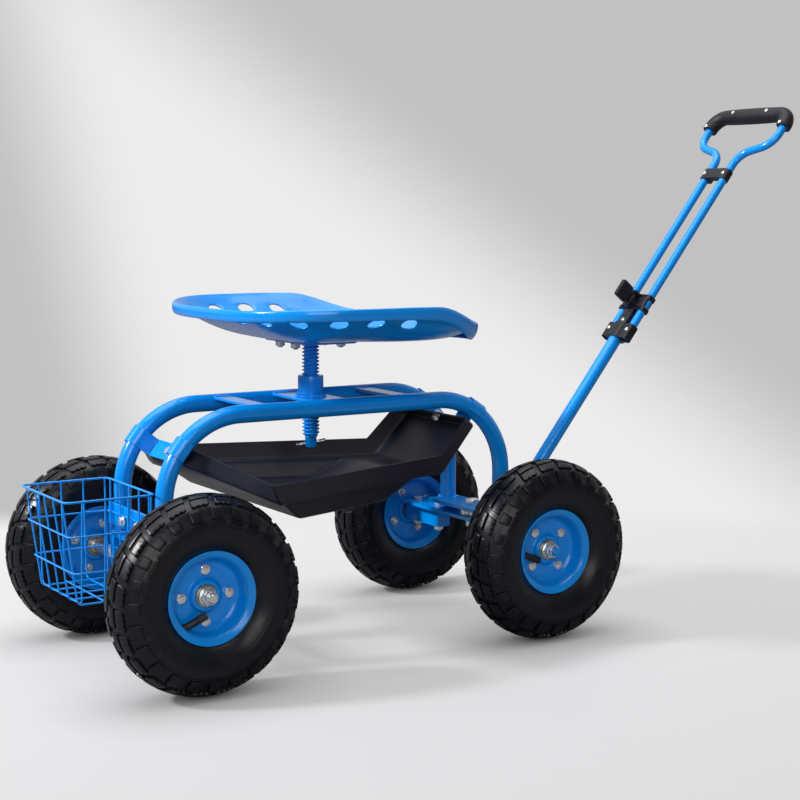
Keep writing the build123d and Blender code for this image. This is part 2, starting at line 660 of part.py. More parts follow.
def tool_tray():
    tray = loft(tray_sections(0, 0), ruled=True) + tray_well(0, 0)
    tray -= loft(tray_sections(TRAY_WALL, TRAY_CUT_ABOVE_RIM), ruled=True)
    tray -= tray_well(TRAY_WALL, 2 * TRAY_WALL)
    for end in (-1, 1):
        tray -= tray_bolt_place(end) * Cylinder(BOLT_RADIUS + BOLT_HOLE_CLEARANCE, 8 * TRAY_WALL)
    return tray


def frame_bolts():
    """The same small flanged bolts hold the tray to its straps and the basket to its bar."""
    jobs = [(tray_bolt_place(end), STRAP_THICKNESS + TRAY_WALL) for end in (-1, 1)]
    jobs += [(place, BASKET_WIRE + BASKET_BAR_THICKNESS) for place in basket_bolt_places()]
    solids = []
    for place, grip in jobs:
        pair = bolt_and_nut(BOLT_RADIUS, BOLT_FLATS, BOLT_HEAD, grip, BOLT_NUT, BOLT_FLANGE_RADIUS, BOLT_FLANGE)
        solids += [place * part for part in pair]
    return group(solids)


# Basket.

def basket():
    def shell(inset, low, high):
        def level(z):
            share = (z - BASKET_BOTTOM) / (BASKET_TOP - BASKET_BOTTOM)
            depth = BASKET_DEPTH_BOTTOM + share * (BASKET_DEPTH_TOP - BASKET_DEPTH_BOTTOM) - 2 * inset
            half = BASKET_HALF_BOTTOM + share * (BASKET_HALF_TOP - BASKET_HALF_BOTTOM) - inset
            middle = BASKET_FRONT_X - inset - depth / 2
            return Pos(middle, 0, z) * Rectangle(depth, 2 * half)
        return loft([level(low), level(high)], ruled=True)

    cage = shell(0, BASKET_BOTTOM, BASKET_TOP)
    cage -= shell(BASKET_WIRE, BASKET_BOTTOM + BASKET_WIRE, BASKET_TOP + BASKET_WIRE)
    half_wire = BASKET_WIRE / 2
    ys = [(i - (BASKET_WIRES_Y - 1) / 2) * BASKET_WIRE_SPACING_Y for i in range(BASKET_WIRES_Y)]
    first_x = BASKET_FRONT_X - BASKET_DEPTH_BOTTOM / 2 - BASKET_WIRE_SPACING_X * (BASKET_WIRES_X - 1) / 2
    xs = [first_x + i * BASKET_WIRE_SPACING_X for i in range(BASKET_WIRES_X)]
    levels = [BASKET_BOTTOM + half_wire, *BASKET_RING_HEIGHTS, BASKET_TOP - BASKET_RIM_WIRE + half_wire]
    reach = 2 * BASKET_DEPTH_TOP
    windows = []
    for low, high in zip(levels, levels[1:]):
        z, tall = (low + high) / 2, high - low - BASKET_WIRE
        for y in [(a + b) / 2 for a, b in zip(ys, ys[1:])]:
            pane = Box(2 * reach, BASKET_WIRE_SPACING_Y - BASKET_WIRE, tall)
            windows.append(Pos(BASKET_FRONT_X, y, z) * pane)
        for x in [(a + b) / 2 for a, b in zip(xs, xs[1:])]:
            windows.append(Pos(x, 0, z) * Box(BASKET_WIRE_SPACING_X - BASKET_WIRE, 2 * reach, tall))
        for side in (-1, 1):
            y = side * (ys[-1] + half_wire + reach / 2)
            for x in (xs[0] - half_wire - reach / 2, xs[-1] + half_wire + reach / 2):
                windows.append(Pos(x, y, z) * Box(reach, reach, tall))
    bounds_x = [first_x - BASKET_WIRE_SPACING_X, *xs, xs[-1] + BASKET_WIRE_SPACING_X]
    bounds_y = [ys[0] - BASKET_WIRE_SPACING_Y, *ys, ys[-1] + BASKET_WIRE_SPACING_Y]
    for xa, xb in zip(bounds_x, bounds_x[1:]):
        for ya, yb in zip(bounds_y, bounds_y[1:]):
            pane = Box(xb - xa - BASKET_WIRE, yb - ya - BASKET_WIRE, 2 * BASKET_WIRE)
            windows.append(Pos((xa + xb) / 2, (ya + yb) / 2, BASKET_BOTTOM) * pane)
    return cage - windows


# Steered front axle.

def front_axle_beam():
    beam = Pos(FRONT_X, 0, BEAM_TOP - BEAM_THICKNESS / 2) * Box(FRONT_PLATE_WIDTH, BEAM_LENGTH, BEAM_THICKNESS)
    beam -= Pos(FRONT_X, 0, BEAM_TOP) * Cylinder(KINGPIN_RADIUS, 3 * BEAM_THICKNESS)
    for y in beam_bolt_rows():
        beam -= Pos(FRONT_X, y, BEAM_TOP) * Cylinder(BEAM_BOLT_RADIUS + BOLT_HOLE_CLEARANCE, 3 * BEAM_THICKNESS)
    return beam


def beam_bolt_rows():
    return [side * y for side in (-1, 1) for y in (BEAM_BOLT_INNER, BEAM_BOLT_OUTER)]


def stub_axle(side):
    """Square bar bolted under the beam, turned down to carry the wheel."""
    top = BEAM_TOP - BEAM_THICKNESS
    end = TRACK / 2 - HUB_FACE - END_FLOAT - WASHER_THICKNESS
    length = end - STUB_BAR_INNER
    low = AXLE_Z - STUB_BAR / 2
    bar = Box(STUB_BAR, length, top - low, align=BOTTOM)
    bar = Pos(FRONT_X, side * (STUB_BAR_INNER + length / 2), low) * bar
    for y in (BEAM_BOLT_INNER, BEAM_BOLT_OUTER):
        bar -= Pos(FRONT_X, side * y, low) * Cylinder(BEAM_BOLT_RADIUS + BOLT_HOLE_CLEARANCE, 4 * STUB_BAR)
    return bar + wheel_place(FRONT_X, side) * journal()


def beam_bolts():
    grip = BEAM_TOP - AXLE_Z + STUB_BAR / 2
    solids = []
    for y in beam_bolt_rows():
        for part in bolt_and_nut(BEAM_BOLT_RADIUS, BEAM_BOLT_FLATS, BEAM_BOLT_HEAD, grip, BEAM_BOLT_NUT):
            solids.append(Pos(FRONT_X, y, BEAM_TOP) * part)
    return group(solids)


def handle_yoke():
    inner = HANDLE_TUBE_RADIUS + YOKE_SIDE_GAP
    back = FRONT_X + FRONT_PLATE_WIDTH / 2
    width = 2 * (inner + YOKE_PLATE_THICKNESS)
    from_back = (Align.MIN, Align.CENTER, Align.CENTER)
    yoke = Box(YOKE_PLATE_THICKNESS, width, YOKE_PLATE_HEIGHT, align=from_back)
    length = YOKE_PIN_AHEAD + YOKE_EAR_REACH
    for side in (-1, 1):
        ear = Box(length, YOKE_PLATE_THICKNESS, YOKE_PLATE_HEIGHT, align=from_back)
        ear = fillet(ear.edges().filter_by(Axis.Y).sort_by(Axis.X)[-2:], YOKE_EAR_ROUND)
        yoke += Pos(0, side * (inner + YOKE_PLATE_THICKNESS / 2), 0) * ear
    yoke = Pos(back, 0, YOKE_PIN_Z) * yoke
    return yoke - Pos(YOKE_PIN_X, 0, YOKE_PIN_Z) * Rot(90, 0, 0) * Cylinder(YOKE_PIN_RADIUS, 2 * width)


def yoke_pin():
    half = HANDLE_TUBE_RADIUS + YOKE_SIDE_GAP + YOKE_PLATE_THICKNESS
    shank = YOKE_PIN_RADIUS - RUNNING_CLEARANCE
    bolt, nut = bolt_and_nut(shank, YOKE_PIN_FLATS, YOKE_PIN_HEAD, 2 * half, YOKE_PIN_NUT)
    place = Pos(YOKE_PIN_X, -half, YOKE_PIN_Z) * Rot(90, 0, 0)
    return group([place * bolt, place * nut])


# Pull handle. Its own frame has +Z along the handle from the yoke pin and +Y across the cart, and
# +X on the side that faces the ground ahead.

def handle_place():
    return Pos(YOKE_PIN_X, 0, YOKE_PIN_Z) * Rot(0, 90 - HANDLE_ELEVATION, 0)


def rod_bores(radius):
    height = 2 * ROD_STRAIGHT_TO
    return [Pos(0, side * ROD_HALF_SPACING, 0) * Cylinder(radius, height) for side in (-1, 1)]


def rounded_block(width, thickness, length, corner):
    block = Box(thickness, width, length, align=BOTTOM)
    return fillet(block.edges().filter_by(Axis.Z), corner)


def handle_tube():
    low = -HANDLE_TUBE_TAIL
    top = GUIDE_BLOCK_AT + GUIDE_BLOCK_LENGTH - TUBE_CAP
    tube = Pos(0, 0, low) * ring(HANDLE_TUBE_RADIUS, HANDLE_TUBE_RADIUS - HANDLE_TUBE_WALL, top - low)
    tube -= Rot(90, 0, 0) * Cylinder(YOKE_PIN_RADIUS, 4 * HANDLE_TUBE_RADIUS)
    return handle_place() * tube


def block_screw_places():
    """Screw heads on the blocks' upper face, in the handle's frame, axis along -X."""
    face = -GUIDE_BLOCK_THICKNESS / 2
    low = GUIDE_BLOCK_AT + GUIDE_SCREW_ALONG
    tongue = GUIDE_BLOCK_AT + GUIDE_BLOCK_LENGTH + TONGUE_SCREW_ALONG
    spots = [(face, -ROD_HALF_SPACING, low), (face, ROD_HALF_SPACING, low), (-TONGUE_THICKNESS / 2, 0, tongue)]
    return [Pos(x, y, z) * Rot(0, -90, 0) for x, y, z in spots]


def guide_block():
    """Moulding on the tube's end: a boss round the tube, an arm to each rod and a tongue to the lock block."""
    block = rounded_block(GUIDE_BLOCK_WIDTH, GUIDE_BLOCK_THICKNESS, GUIDE_BLOCK_LENGTH, BLOCK_CORNER)
    block += rounded_block(GUIDE_BOSS_WIDTH, GUIDE_BOSS_THICKNESS, GUIDE_BLOCK_LENGTH, GUIDE_BOSS_CORNER)
    tongue = Box(TONGUE_THICKNESS, TONGUE_WIDTH, LOCK_BLOCK_AT - GUIDE_BLOCK_AT, align=BOTTOM)
    block = Pos(0, 0, GUIDE_BLOCK_AT) * (block + tongue)
    tube_top = GUIDE_BLOCK_AT + GUIDE_BLOCK_LENGTH - TUBE_CAP
    block -= Cylinder(HANDLE_TUBE_RADIUS, tube_top, align=BOTTOM)
    block -= rod_bores(ROD_RADIUS + RUNNING_CLEARANCE)
    return handle_place() * block


def lever_axis():
    """Lever's pivot line in the handle's frame: across the block's upper face, along the handle."""
    return -GUIDE_BLOCK_THICKNESS / 2 - LEVER_PIVOT_ABOVE_BLOCK, LOCK_BLOCK_AT + LOCK_BLOCK_LENGTH / 2


def lock_block():
    pivot, middle = lever_axis()
    block = rounded_block(GUIDE_BLOCK_WIDTH, GUIDE_BLOCK_THICKNESS, LOCK_BLOCK_LENGTH, BLOCK_CORNER)
    block = Pos(0, 0, LOCK_BLOCK_AT) * block - rod_bores(ROD_RADIUS + RUNNING_CLEARANCE)
    for side in (-1, 1):
        z = middle + side * (LEVER_HUB_LENGTH + LOCK_LUG_LENGTH + 2 * END_FLOAT) / 2
        end_on = (Align.MAX, Align.CENTER, Align.CENTER)
        lug = Box(LOCK_LUG_HEIGHT, LOCK_LUG_WIDTH, LOCK_LUG_LENGTH, align=end_on)
        block += Pos(-GUIDE_BLOCK_THICKNESS / 2, 0, z) * lug
    return handle_place() * (block - Pos(pivot, 0, middle) * Cylinder(LEVER_PIN_RADIUS, 2 * LOCK_BLOCK_LENGTH))


def lock_lever():
    """Cam lever with moulded trunnions, a short neck and a ribbed thumb paddle."""
    pivot, middle = lever_axis()
    trunnion = LEVER_HUB_LENGTH + 2 * LOCK_LUG_LENGTH
    lever = Cylinder(LEVER_HUB_RADIUS, LEVER_HUB_LENGTH)
    lever += Cylinder(LEVER_PIN_RADIUS - RUNNING_CLEARANCE, trunnion)
    end_on = (Align.MAX, Align.CENTER, Align.CENTER)
    lever += Box(LEVER_NECK, LEVER_PADDLE_THICKNESS, LEVER_HUB_LENGTH, align=end_on)
    paddle = Box(LEVER_PADDLE_LENGTH, LEVER_PADDLE_THICKNESS, LEVER_PADDLE_WIDTH, align=end_on)
    lever += Pos(-LEVER_NECK, 0, 0) * paddle
    pitch = LEVER_PADDLE_LENGTH / LEVER_RIBS
    rib = Box(pitch / 2, LEVER_PADDLE_THICKNESS + 2 * LEVER_RIB_HEIGHT, LEVER_PADDLE_WIDTH - pitch)
    for index in range(LEVER_RIBS):
        lever += Pos(-LEVER_NECK - (index + 0.5) * pitch, 0, 0) * rib
    return handle_place() * Pos(pivot, 0, middle) * lever


def loop_points():
    """Corners of one side of the handle loop, as (across, along) from the rod's lower end to the grip."""
    angle = math.radians(ROD_SPREAD_ANGLE)
    start = GUIDE_BLOCK_AT + ROD_INSET
    spread = GRIP_HALF_SPAN - ROD_HALF_SPACING
    knee = ROD_STRAIGHT_TO + ROD_BEND_RADIUS * math.tan(angle / 2)
    elbow = knee + spread / math.tan(angle)
    top = elbow + ROD_BEND_RADIUS * math.tan(angle / 2) + GRIP_LEG_STRAIGHT + GRIP_BEND_RADIUS
    return [(ROD_HALF_SPACING, start), (ROD_HALF_SPACING, knee), (GRIP_HALF_SPAN, elbow), (GRIP_HALF_SPAN, top)]


def handle_loop():
    right = [(0, -y, z) for y, z in loop_points()]
    left = [(0, y, z) for y, z in reversed(loop_points())]
    radii = [ROD_BEND_RADIUS, ROD_BEND_RADIUS, GRIP_BEND_RADIUS]
    path = FilletPolyline(*right, *left, radius=radii + radii[::-1])
    return handle_place() * swept_tube(path, ROD_RADIUS, ROD_RADIUS - ROD_WALL)


def grip_halves():
    """Two moulded shells screwed together round the top of the loop."""
    (_, _), (_, _), (half, elbow), (_, top) = loop_points()
    start = top - GRIP_BEND_RADIUS - GRIP_END_LENGTH
    path = FilletPolyline((0, -half, start), (0, -half, top), (0, half, top), (0, half, start),
                          radius=GRIP_BEND_RADIUS)
    grip = swept_tube(path, GRIP_RADIUS, ROD_RADIUS)
    reach = 2 * top
    halves = []
    for side in (Align.MAX, Align.MIN):
        half_space = Box(reach, reach, reach, align=(side, Align.CENTER, Align.CENTER))
        halves.append(handle_place() * (grip & half_space))
    return group(halves)


def rod_bridge():
    """Clamp across both rods, hollow underneath between them."""
    block = rounded_block(BRIDGE_WIDTH, BRIDGE_THICKNESS, BRIDGE_LENGTH, BRIDGE_CORNER)
    under = (Align.MAX, Align.CENTER, Align.MIN)
    hollow = Box(BRIDGE_HOLLOW_DEPTH, BRIDGE_HOLLOW_WIDTH, BRIDGE_LENGTH, align=under)
    block -= Pos(BRIDGE_THICKNESS / 2, 0, 0) * hollow
    return handle_place() * (Pos(0, 0, BRIDGE_AT - BRIDGE_LENGTH / 2) * block - rod_bores(ROD_RADIUS))


def screw_head():
    return Cylinder(SCREW_RADIUS, SCREW_HEAD, align=BOTTOM)


def block_screws():
    return group([handle_place() * place * screw_head() for place in block_screw_places()])


def handle_screws():
    """Pan heads on the grip's and the bridge's upper faces."""
    top = loop_points()[-1][1]
    side_z = top - GRIP_BEND_RADIUS - GRIP_END_LENGTH / 2
    spots = [(GRIP_RADIUS, side * GRIP_HALF_SPAN, side_z) for side in (-1, 1)]
    spots += [(GRIP_RADIUS, side * GRIP_SCREW_SPACING / 2, top) for side in (-1, 1)]
    spots += [(BRIDGE_THICKNESS / 2, side * ROD_HALF_SPACING, BRIDGE_AT) for side in (-1, 1)]
    heads = []
    for out, y, z in spots:
        heads.append(handle_place() * Pos(-out, y, z) * Rot(0, -90, 0) * screw_head())
    return group(heads)


# Seat.

def seat_outline(share=1.0):
    """Points of the seat's rim in plan, from the middle of the back."""
    turns = [index / SEAT_RIM_POINTS for index in range(SEAT_RIM_POINTS)]
    return [seat_plan(2 * math.pi * turn, share) for turn in turns]


def seat_plan(angle, share=1.0):
    """Local (forward, across) of the rim at an angle from the middle of the back."""
    c, s = math.cos(angle), math.sin(angle)
    across = SEAT_HALF_WIDTH * math.copysign(abs(s) ** SEAT_SQUARENESS, s)
    reach = SEAT_BACK if c > 0 else SEAT_FRONT
    forward = -reach * math.copysign(abs(c) ** SEAT_SQUARENESS, c)
    if c < 0:
        forward -= SEAT_NOTCH * math.exp(-(across / SEAT_NOTCH_WIDTH) ** 2)
    return share * forward, share * across


def seat_share(forward, across):
    """How far a point lies from the seat's middle towards its rim: 0 at the middle, 1 on the rim."""
    power = 2 / SEAT_SQUARENESS
    reach = SEAT_BACK if forward < 0 else SEAT_FRONT
    if forward > 0:
        reach -= SEAT_NOTCH * math.exp(-(across / SEAT_NOTCH_WIDTH) ** 2)
    return (abs(forward / reach) ** power + abs(across / SEAT_HALF_WIDTH) ** power) ** (1 / power)


def seat_rim_height(forward, across):
    """Height of the rim beyond a point: highest at the sides, a little lower behind, dropping in front."""
    far = max(seat_share(forward, across), 1e-6)
    angle = math.degrees(abs(math.atan2(across, -forward)))
    rise = (angle - SEAT_BACK_ANGLE) / (SEAT_SIDE_ANGLE - SEAT_BACK_ANGLE)
    rise = min(max(rise, 0.0), 1.0)
    height = SEAT_BACK_Z + (SEAT_SIDE_Z - SEAT_BACK_Z) * rise * rise * (3 - 2 * rise)
    drop = max((forward / far - SEAT_DROP_START) / (SEAT_FRONT - SEAT_DROP_START), 0.0)
    return height - SEAT_DROP * drop ** SEAT_DROP_POWER


def seat_height(forward, across):
    rise = seat_rim_height(forward, across) - SEAT_FLOOR_Z - SEAT_SHEET
    share = max((seat_share(forward, across) - SEAT_FLAT_SHARE) / (1 - SEAT_FLAT_SHARE), 0.0)
    return SEAT_FLOOR_Z + SEAT_SHEET + rise * share ** SEAT_DISH_POWER


def seat_place():
    return Pos(SEAT_X, 0, 0)


def seat_prism(share, low, high):
    plan = make_face(Spline(*[(x, y, 0) for x, y in seat_outline(share)], periodic=True))
    return Pos(0, 0, low) * extrude(plan, high - low)


def seat_pan():
    shares = [i / (SEAT_SURFACE_POINTS - 1) for i in range(SEAT_SURFACE_POINTS)]
    xs = [SEAT_SURFACE_REACH * (share * (SEAT_BACK + SEAT_FRONT) - SEAT_BACK) for share in shares]
    ys = [SEAT_SURFACE_REACH * (2 * share - 1) * SEAT_HALF_WIDTH for share in shares]
    dish = Face.make_surface_from_array_of_points([[Vector(x, y, seat_height(x, y)) for y in ys] for x in xs])
    low, high = SEAT_FLOOR_Z - 2 * SEAT_LIP_DEPTH, SEAT_SIDE_Z + 2 * SEAT_LIP_DEPTH
    below = -1 if dish.normal_at(dish.center()).Z > 0 else 1
    plan = seat_prism(1.0, low, high)
    rim_share = 1 - SEAT_LIP_WIDTH / SEAT_BACK
    pan = thicken(dish, amount=below * SEAT_SHEET) & plan
    lip = thicken(dish, amount=below * SEAT_LIP_DEPTH) & (plan - seat_prism(rim_share, low, high))
    pan += lip
    for side in (-1, 1):
        for index in range(SEAT_HOLES_PER_SIDE):
            angle = math.radians(side * (index + 0.5) * SEAT_HOLE_STEP)
            pan -= seat_hole(angle)
    for place in seat_bolt_places():
        pan -= place * Cylinder(BEAM_BOLT_RADIUS + BOLT_HOLE_CLEARANCE, 8 * SEAT_PLATE_THICKNESS)
    return seat_place() * pan


def seat_hole(angle):
    """Oval drain hole through the dish's wall, longer along the rim."""
    far = seat_share(-math.cos(angle), math.sin(angle))
    forward, across = -math.cos(angle) * SEAT_HOLE_SHARE / far, math.sin(angle) * SEAT_HOLE_SHARE / far
    step = 1.0
    slope_f = (seat_height(forward + step, across) - seat_height(forward - step, across)) / (2 * step)
    slope_a = (seat_height(forward, across + step) - seat_height(forward, across - step)) / (2 * step)
    normal = Vector(-slope_f, -slope_a, 1).normalized()
    plane = Plane(origin=(forward, across, seat_height(forward, across)), z_dir=normal,
                  x_dir=Vector(across, -forward, 0).cross(normal).cross(normal))
    return extrude(plane * Ellipse(SEAT_HOLE_LENGTH / 2, SEAT_HOLE_WIDTH / 2), SEAT_LIP_DEPTH, both=True)


def seat_bolt_places():
    """Bolt heads inside the dish, shanks down through the seat plate."""
    top = SEAT_FLOOR_Z + SEAT_SHEET + SEAT_SEATING
    return [Pos(x * SEAT_BOLT_SPACING_X / 2, y * SEAT_BOLT_SPACING_Y / 2, top)
            for x in (-1, 1) for y in (-1, 1)]


def seat_plate():
    plate = Pos(0, 0, SEAT_PLATE_BOTTOM)
    plate *= Box(SEAT_PLATE_DEPTH, SEAT_PLATE_LENGTH, SEAT_PLATE_THICKNESS, align=BOTTOM)
    plate = fillet(plate.edges().filter_by(Axis.Z), SEAT_PLATE_CORNER)
    for place in seat_bolt_places():
        plate -= place * Cylinder(BEAM_BOLT_RADIUS + BOLT_HOLE_CLEARANCE, 8 * SEAT_PLATE_THICKNESS)
    return seat_place() * plate


def seat_bolts():
    grip = SEAT_PLATE_THICKNESS + SEAT_SHEET + 2 * SEAT_SEATING
    solids = []
    for place in seat_bolt_places():
        for part in bolt_and_nut(BEAM_BOLT_RADIUS, BEAM_BOLT_FLATS, BEAM_BOLT_HEAD, grip, BEAM_BOLT_NUT):
            solids.append(seat_place() * place * part)
    return group(solids)


def threaded_post():
    """Coarse screw with plain tip; the thread is drawn as rings of the true pitch."""
    top = SEAT_PLATE_BOTTOM - END_FLOAT
    start = POST_BOTTOM + POST_TIP_LENGTH
    turns = int((top - start) / THREAD_PITCH)
    points = [(0, POST_BOTTOM), (POST_TIP_RADIUS, POST_BOTTOM), (POST_TIP_RADIUS, start)]
    flank = (THREAD_PITCH - 2 * THREAD_CREST) / 2
    for turn in range(turns):
        z = start + turn * THREAD_PITCH
        points += [(THREAD_ROOT, z), (THREAD_RADIUS, z + flank), (THREAD_RADIUS, z + flank + THREAD_CREST),
                   (THREAD_ROOT, z + 2 * flank + THREAD_CREST)]
    points += [(THREAD_ROOT, start + turns * THREAD_PITCH), (THREAD_RADIUS, top), (0, top)]
    post = Pos(SEAT_X, 0, 0) * turned(points)
    clip_hole = Cylinder(CLIP_WIRE_RADIUS + RUNNING_CLEARANCE, 4 * POST_TIP_RADIUS)
    return post - clip_place() * Rot(0, 90, 0) * clip_hole


def clip_place():
    return Pos(SEAT_X, 0, POST_BOTTOM + CLIP_ABOVE_TIP) * Rot(0, 0, CLIP_ANGLE)


def retaining_clip():
    """Spring clip: one leg through the post, the other bowed round its side."""
    beside = POST_TIP_RADIUS + CLIP_WIRE_RADIUS + CLIP_GAP
    path = FilletPolyline((CLIP_REACH, 0, 0), (-CLIP_REACH, 0, 0), (-CLIP_REACH, beside, 0),
                          (CLIP_REACH / 2, beside, 0), (CLIP_REACH, beside + CLIP_FLARE, 0),
                          radius=CLIP_BEND_RADIUS)
    section = Plane(origin=path @ 0, z_dir=path % 0) * Circle(CLIP_WIRE_RADIUS)
    return clip_place() * sweep(section, path=path)


def all_nodes():
    nodes = {
        "left_side_rail": side_rail(1),
        "right_side_rail": side_rail(-1),
        "cross_bars": group([flat_between_rails(REAR_BAR_X, CROSS_BAR_WIDTH),
                             flat_between_rails(FRONT_BAR_X, CROSS_BAR_WIDTH)]),
        "seat_support_plate": seat_support_plate(),
        "seat_sleeve": seat_sleeve(),
        "rear_tray_strap": tray_strap(-1),
        "front_tray_strap": tray_strap(1),
        "frame_bolts": frame_bolts(),
        "tool_tray": tool_tray(),
        "rear_axle_bracket": rear_axle_bracket(),
        "rear_axle_rod": rear_axle_rod(),
        "rear_axle_nuts": axle_fasteners(REAR_X),
        "basket_mount_bar": basket_mount_bar(),
        "basket": basket(),
        "front_foot_plate": front_foot_plate(),
        "kingpin_bolt": kingpin(),
        "front_axle_beam": front_axle_beam(),
        "front_stub_axles": group([stub_axle(-1), stub_axle(1)]),
        "front_axle_nuts": axle_fasteners(FRONT_X),
        "beam_bolts": beam_bolts(),
        "handle_yoke": handle_yoke(),
        "yoke_pin": yoke_pin(),
        "handle_tube": handle_tube(),
        "guide_block": guide_block(),
        "lock_block": lock_block(),
        "block_screws": block_screws(),
        "lock_lever": lock_lever(),
        "handle_loop": handle_loop(),
        "handle_grip": grip_halves(),
        "rod_bridge": rod_bridge(),
        "handle_screws": handle_screws(),
        "threaded_post": threaded_post(),
        "retaining_clip": retaining_clip(),
        "seat_plate": seat_plate(),
        "seat_pan": seat_pan(),
        "seat_bolts": seat_bolts(),
    }
    for end, x in (("rear", REAR_X), ("front", FRONT_X)):
        for hand, side in (("right", -1), ("left", 1)):
            nodes.update(wheel_nodes(f"{end}_{hand}", x, side))
    return nodes


os.makedirs("parts", exist_ok=True)
for node_name, piece in all_nodes().items():
    export_step(Pos(MID_WHEELBASE_X, 0, 0) * piece, f"parts/{node_name}.step")
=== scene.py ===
import json
import math
import bmesh
import bpy
from mathutils import Matrix, Vector
from mathutils.geometry import delaunay_2d_cdt


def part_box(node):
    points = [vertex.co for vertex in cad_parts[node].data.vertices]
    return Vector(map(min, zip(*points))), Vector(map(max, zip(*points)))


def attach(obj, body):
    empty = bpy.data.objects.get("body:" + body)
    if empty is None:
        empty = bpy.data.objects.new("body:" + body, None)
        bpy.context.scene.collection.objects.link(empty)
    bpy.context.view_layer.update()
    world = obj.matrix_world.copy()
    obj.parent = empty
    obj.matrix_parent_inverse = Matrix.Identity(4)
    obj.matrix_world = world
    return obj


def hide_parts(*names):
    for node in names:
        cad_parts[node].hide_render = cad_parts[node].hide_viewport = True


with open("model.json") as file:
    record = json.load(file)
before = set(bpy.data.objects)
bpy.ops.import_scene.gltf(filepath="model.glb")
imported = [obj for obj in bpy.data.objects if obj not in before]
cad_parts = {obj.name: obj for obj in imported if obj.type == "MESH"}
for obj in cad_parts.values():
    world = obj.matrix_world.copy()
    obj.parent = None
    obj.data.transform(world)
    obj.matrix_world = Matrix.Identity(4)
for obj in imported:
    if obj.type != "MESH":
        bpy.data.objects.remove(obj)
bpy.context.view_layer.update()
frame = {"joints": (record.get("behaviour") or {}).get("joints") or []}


# Side rails: two 24 mm steel tubes, each bent twice into an arch that carries the seat and the tray.
# They are cut, bent on a mandrel, welded to the axle plates and powder coated with the whole frame.
# Sizes are in millimetres and angles in degrees; MM turns a size to metres.
MM = 0.001
RAIL_RADIUS = 12.0
RAIL_BEND = 110.0
RAIL_SIDES = 48
BEND_STEPS = 24


def corners(node):
    """Lowest and highest corner of a solid, in millimetres."""
    low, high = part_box(node)
    return low / MM, high / MM


def linear(code):
    """Linear colour of an sRGB hex value."""
    channels = [int(code[i:i + 2], 16) / 255 for i in (0, 2, 4)]
    return [c / 12.92 if c <= 0.04045 else ((c + 0.055) / 1.055) ** 2.4 for c in channels] + [1.0]


def per(size):
    """Texture scale of a pattern that repeats every so many millimetres."""
    return 1 / (size * MM)


def add_node(tree, kind, settings=None, links=()):
    """Adds one node: settings are its attributes or input sockets, links feed its inputs."""
    made = tree.nodes.new(kind)
    for key, value in (settings or {}).items():
        if isinstance(key, str) and hasattr(made, key):
            setattr(made, key, value)
        else:
            made.inputs[key].default_value = value
    for key, source in links:
        tree.links.new(source, made.inputs[key])
    return made


def bare_material(name):
    """Material with an empty node tree, and the object's own coordinates to draw patterns by."""
    made = bpy.data.materials.new(name)
    made.use_nodes = True
    made.node_tree.nodes.clear()
    return made, made.node_tree, add_node(made.node_tree, "ShaderNodeTexCoord").outputs["Object"]


def finish(name, optics, patterns, tones, relief, gloss=None):
    """Material whose tone, relief and roughness each follow one of its patterns.

    A pattern is a texture node's kind, settings and output. Tones are its pattern and two colours, relief
    its pattern, strength and height in millimetres, gloss its pattern, that one's range and the roughness.
    """
    made, tree, here = bare_material(name)
    drawn = {}
    for label, (kind, settings, output) in patterns.items():
        drawn[label] = add_node(tree, kind, settings, [("Vector", here)]).outputs[output]
    pattern, first, second = tones
    tone = add_node(tree, "ShaderNodeMix", {"data_type": "RGBA", 6: linear(first), 7: linear(second)},
                    [(0, drawn[pattern])])
    pattern, strength, height = relief
    bump = add_node(tree, "ShaderNodeBump", {"Strength": strength, "Distance": height * MM},
                    [("Height", drawn[pattern])])
    links = [("Base Color", tone.outputs[2]), ("Normal", bump.outputs["Normal"])]
    if gloss:
        pattern, low, high, smooth, dull = gloss
        spread = add_node(tree, "ShaderNodeMapRange", {"From Min": low, "From Max": high, "To Min": smooth,
                                                       "To Max": dull}, [("Value", drawn[pattern])])
        links.append(("Roughness", spread.outputs["Result"]))
    shader = add_node(tree, "ShaderNodeBsdfPrincipled", optics, links)
    add_node(tree, "ShaderNodeOutputMaterial", links=[("Surface", shader.outputs["BSDF"])])
    return made


# Powder coat: polyester baked on as a thick even skin. The eye sees a full gloss, a fine orange peel
# that softens the reflections, and a little more depth where the powder built up.
blue_powder_coat = finish(
    "blue_powder_coat",
    {"IOR": 1.5, "Specular IOR Level": 0.3, "Coat Weight": 0.35, "Coat Roughness": 0.08},
    {"build_up": ("ShaderNodeTexNoise", {"Scale": per(38), "Detail": 3.0}, "Fac"),
     "haze": ("ShaderNodeTexNoise", {"Scale": per(30), "Detail": 2.0}, "Fac"),
     "peel": ("ShaderNodeTexNoise", {"Scale": per(2.2), "Detail": 1.0}, "Fac")},
    tones=("build_up", "008AE6", "0692EE"), relief=("peel", 0.006, 0.2),
    gloss=("haze", 0.3, 0.7, 0.2, 0.25))

NEARLY_STRAIGHT = math.pi - 0.01
END_RUN_SHARE = 0.98
INNER_RUN_SHARE = 0.49


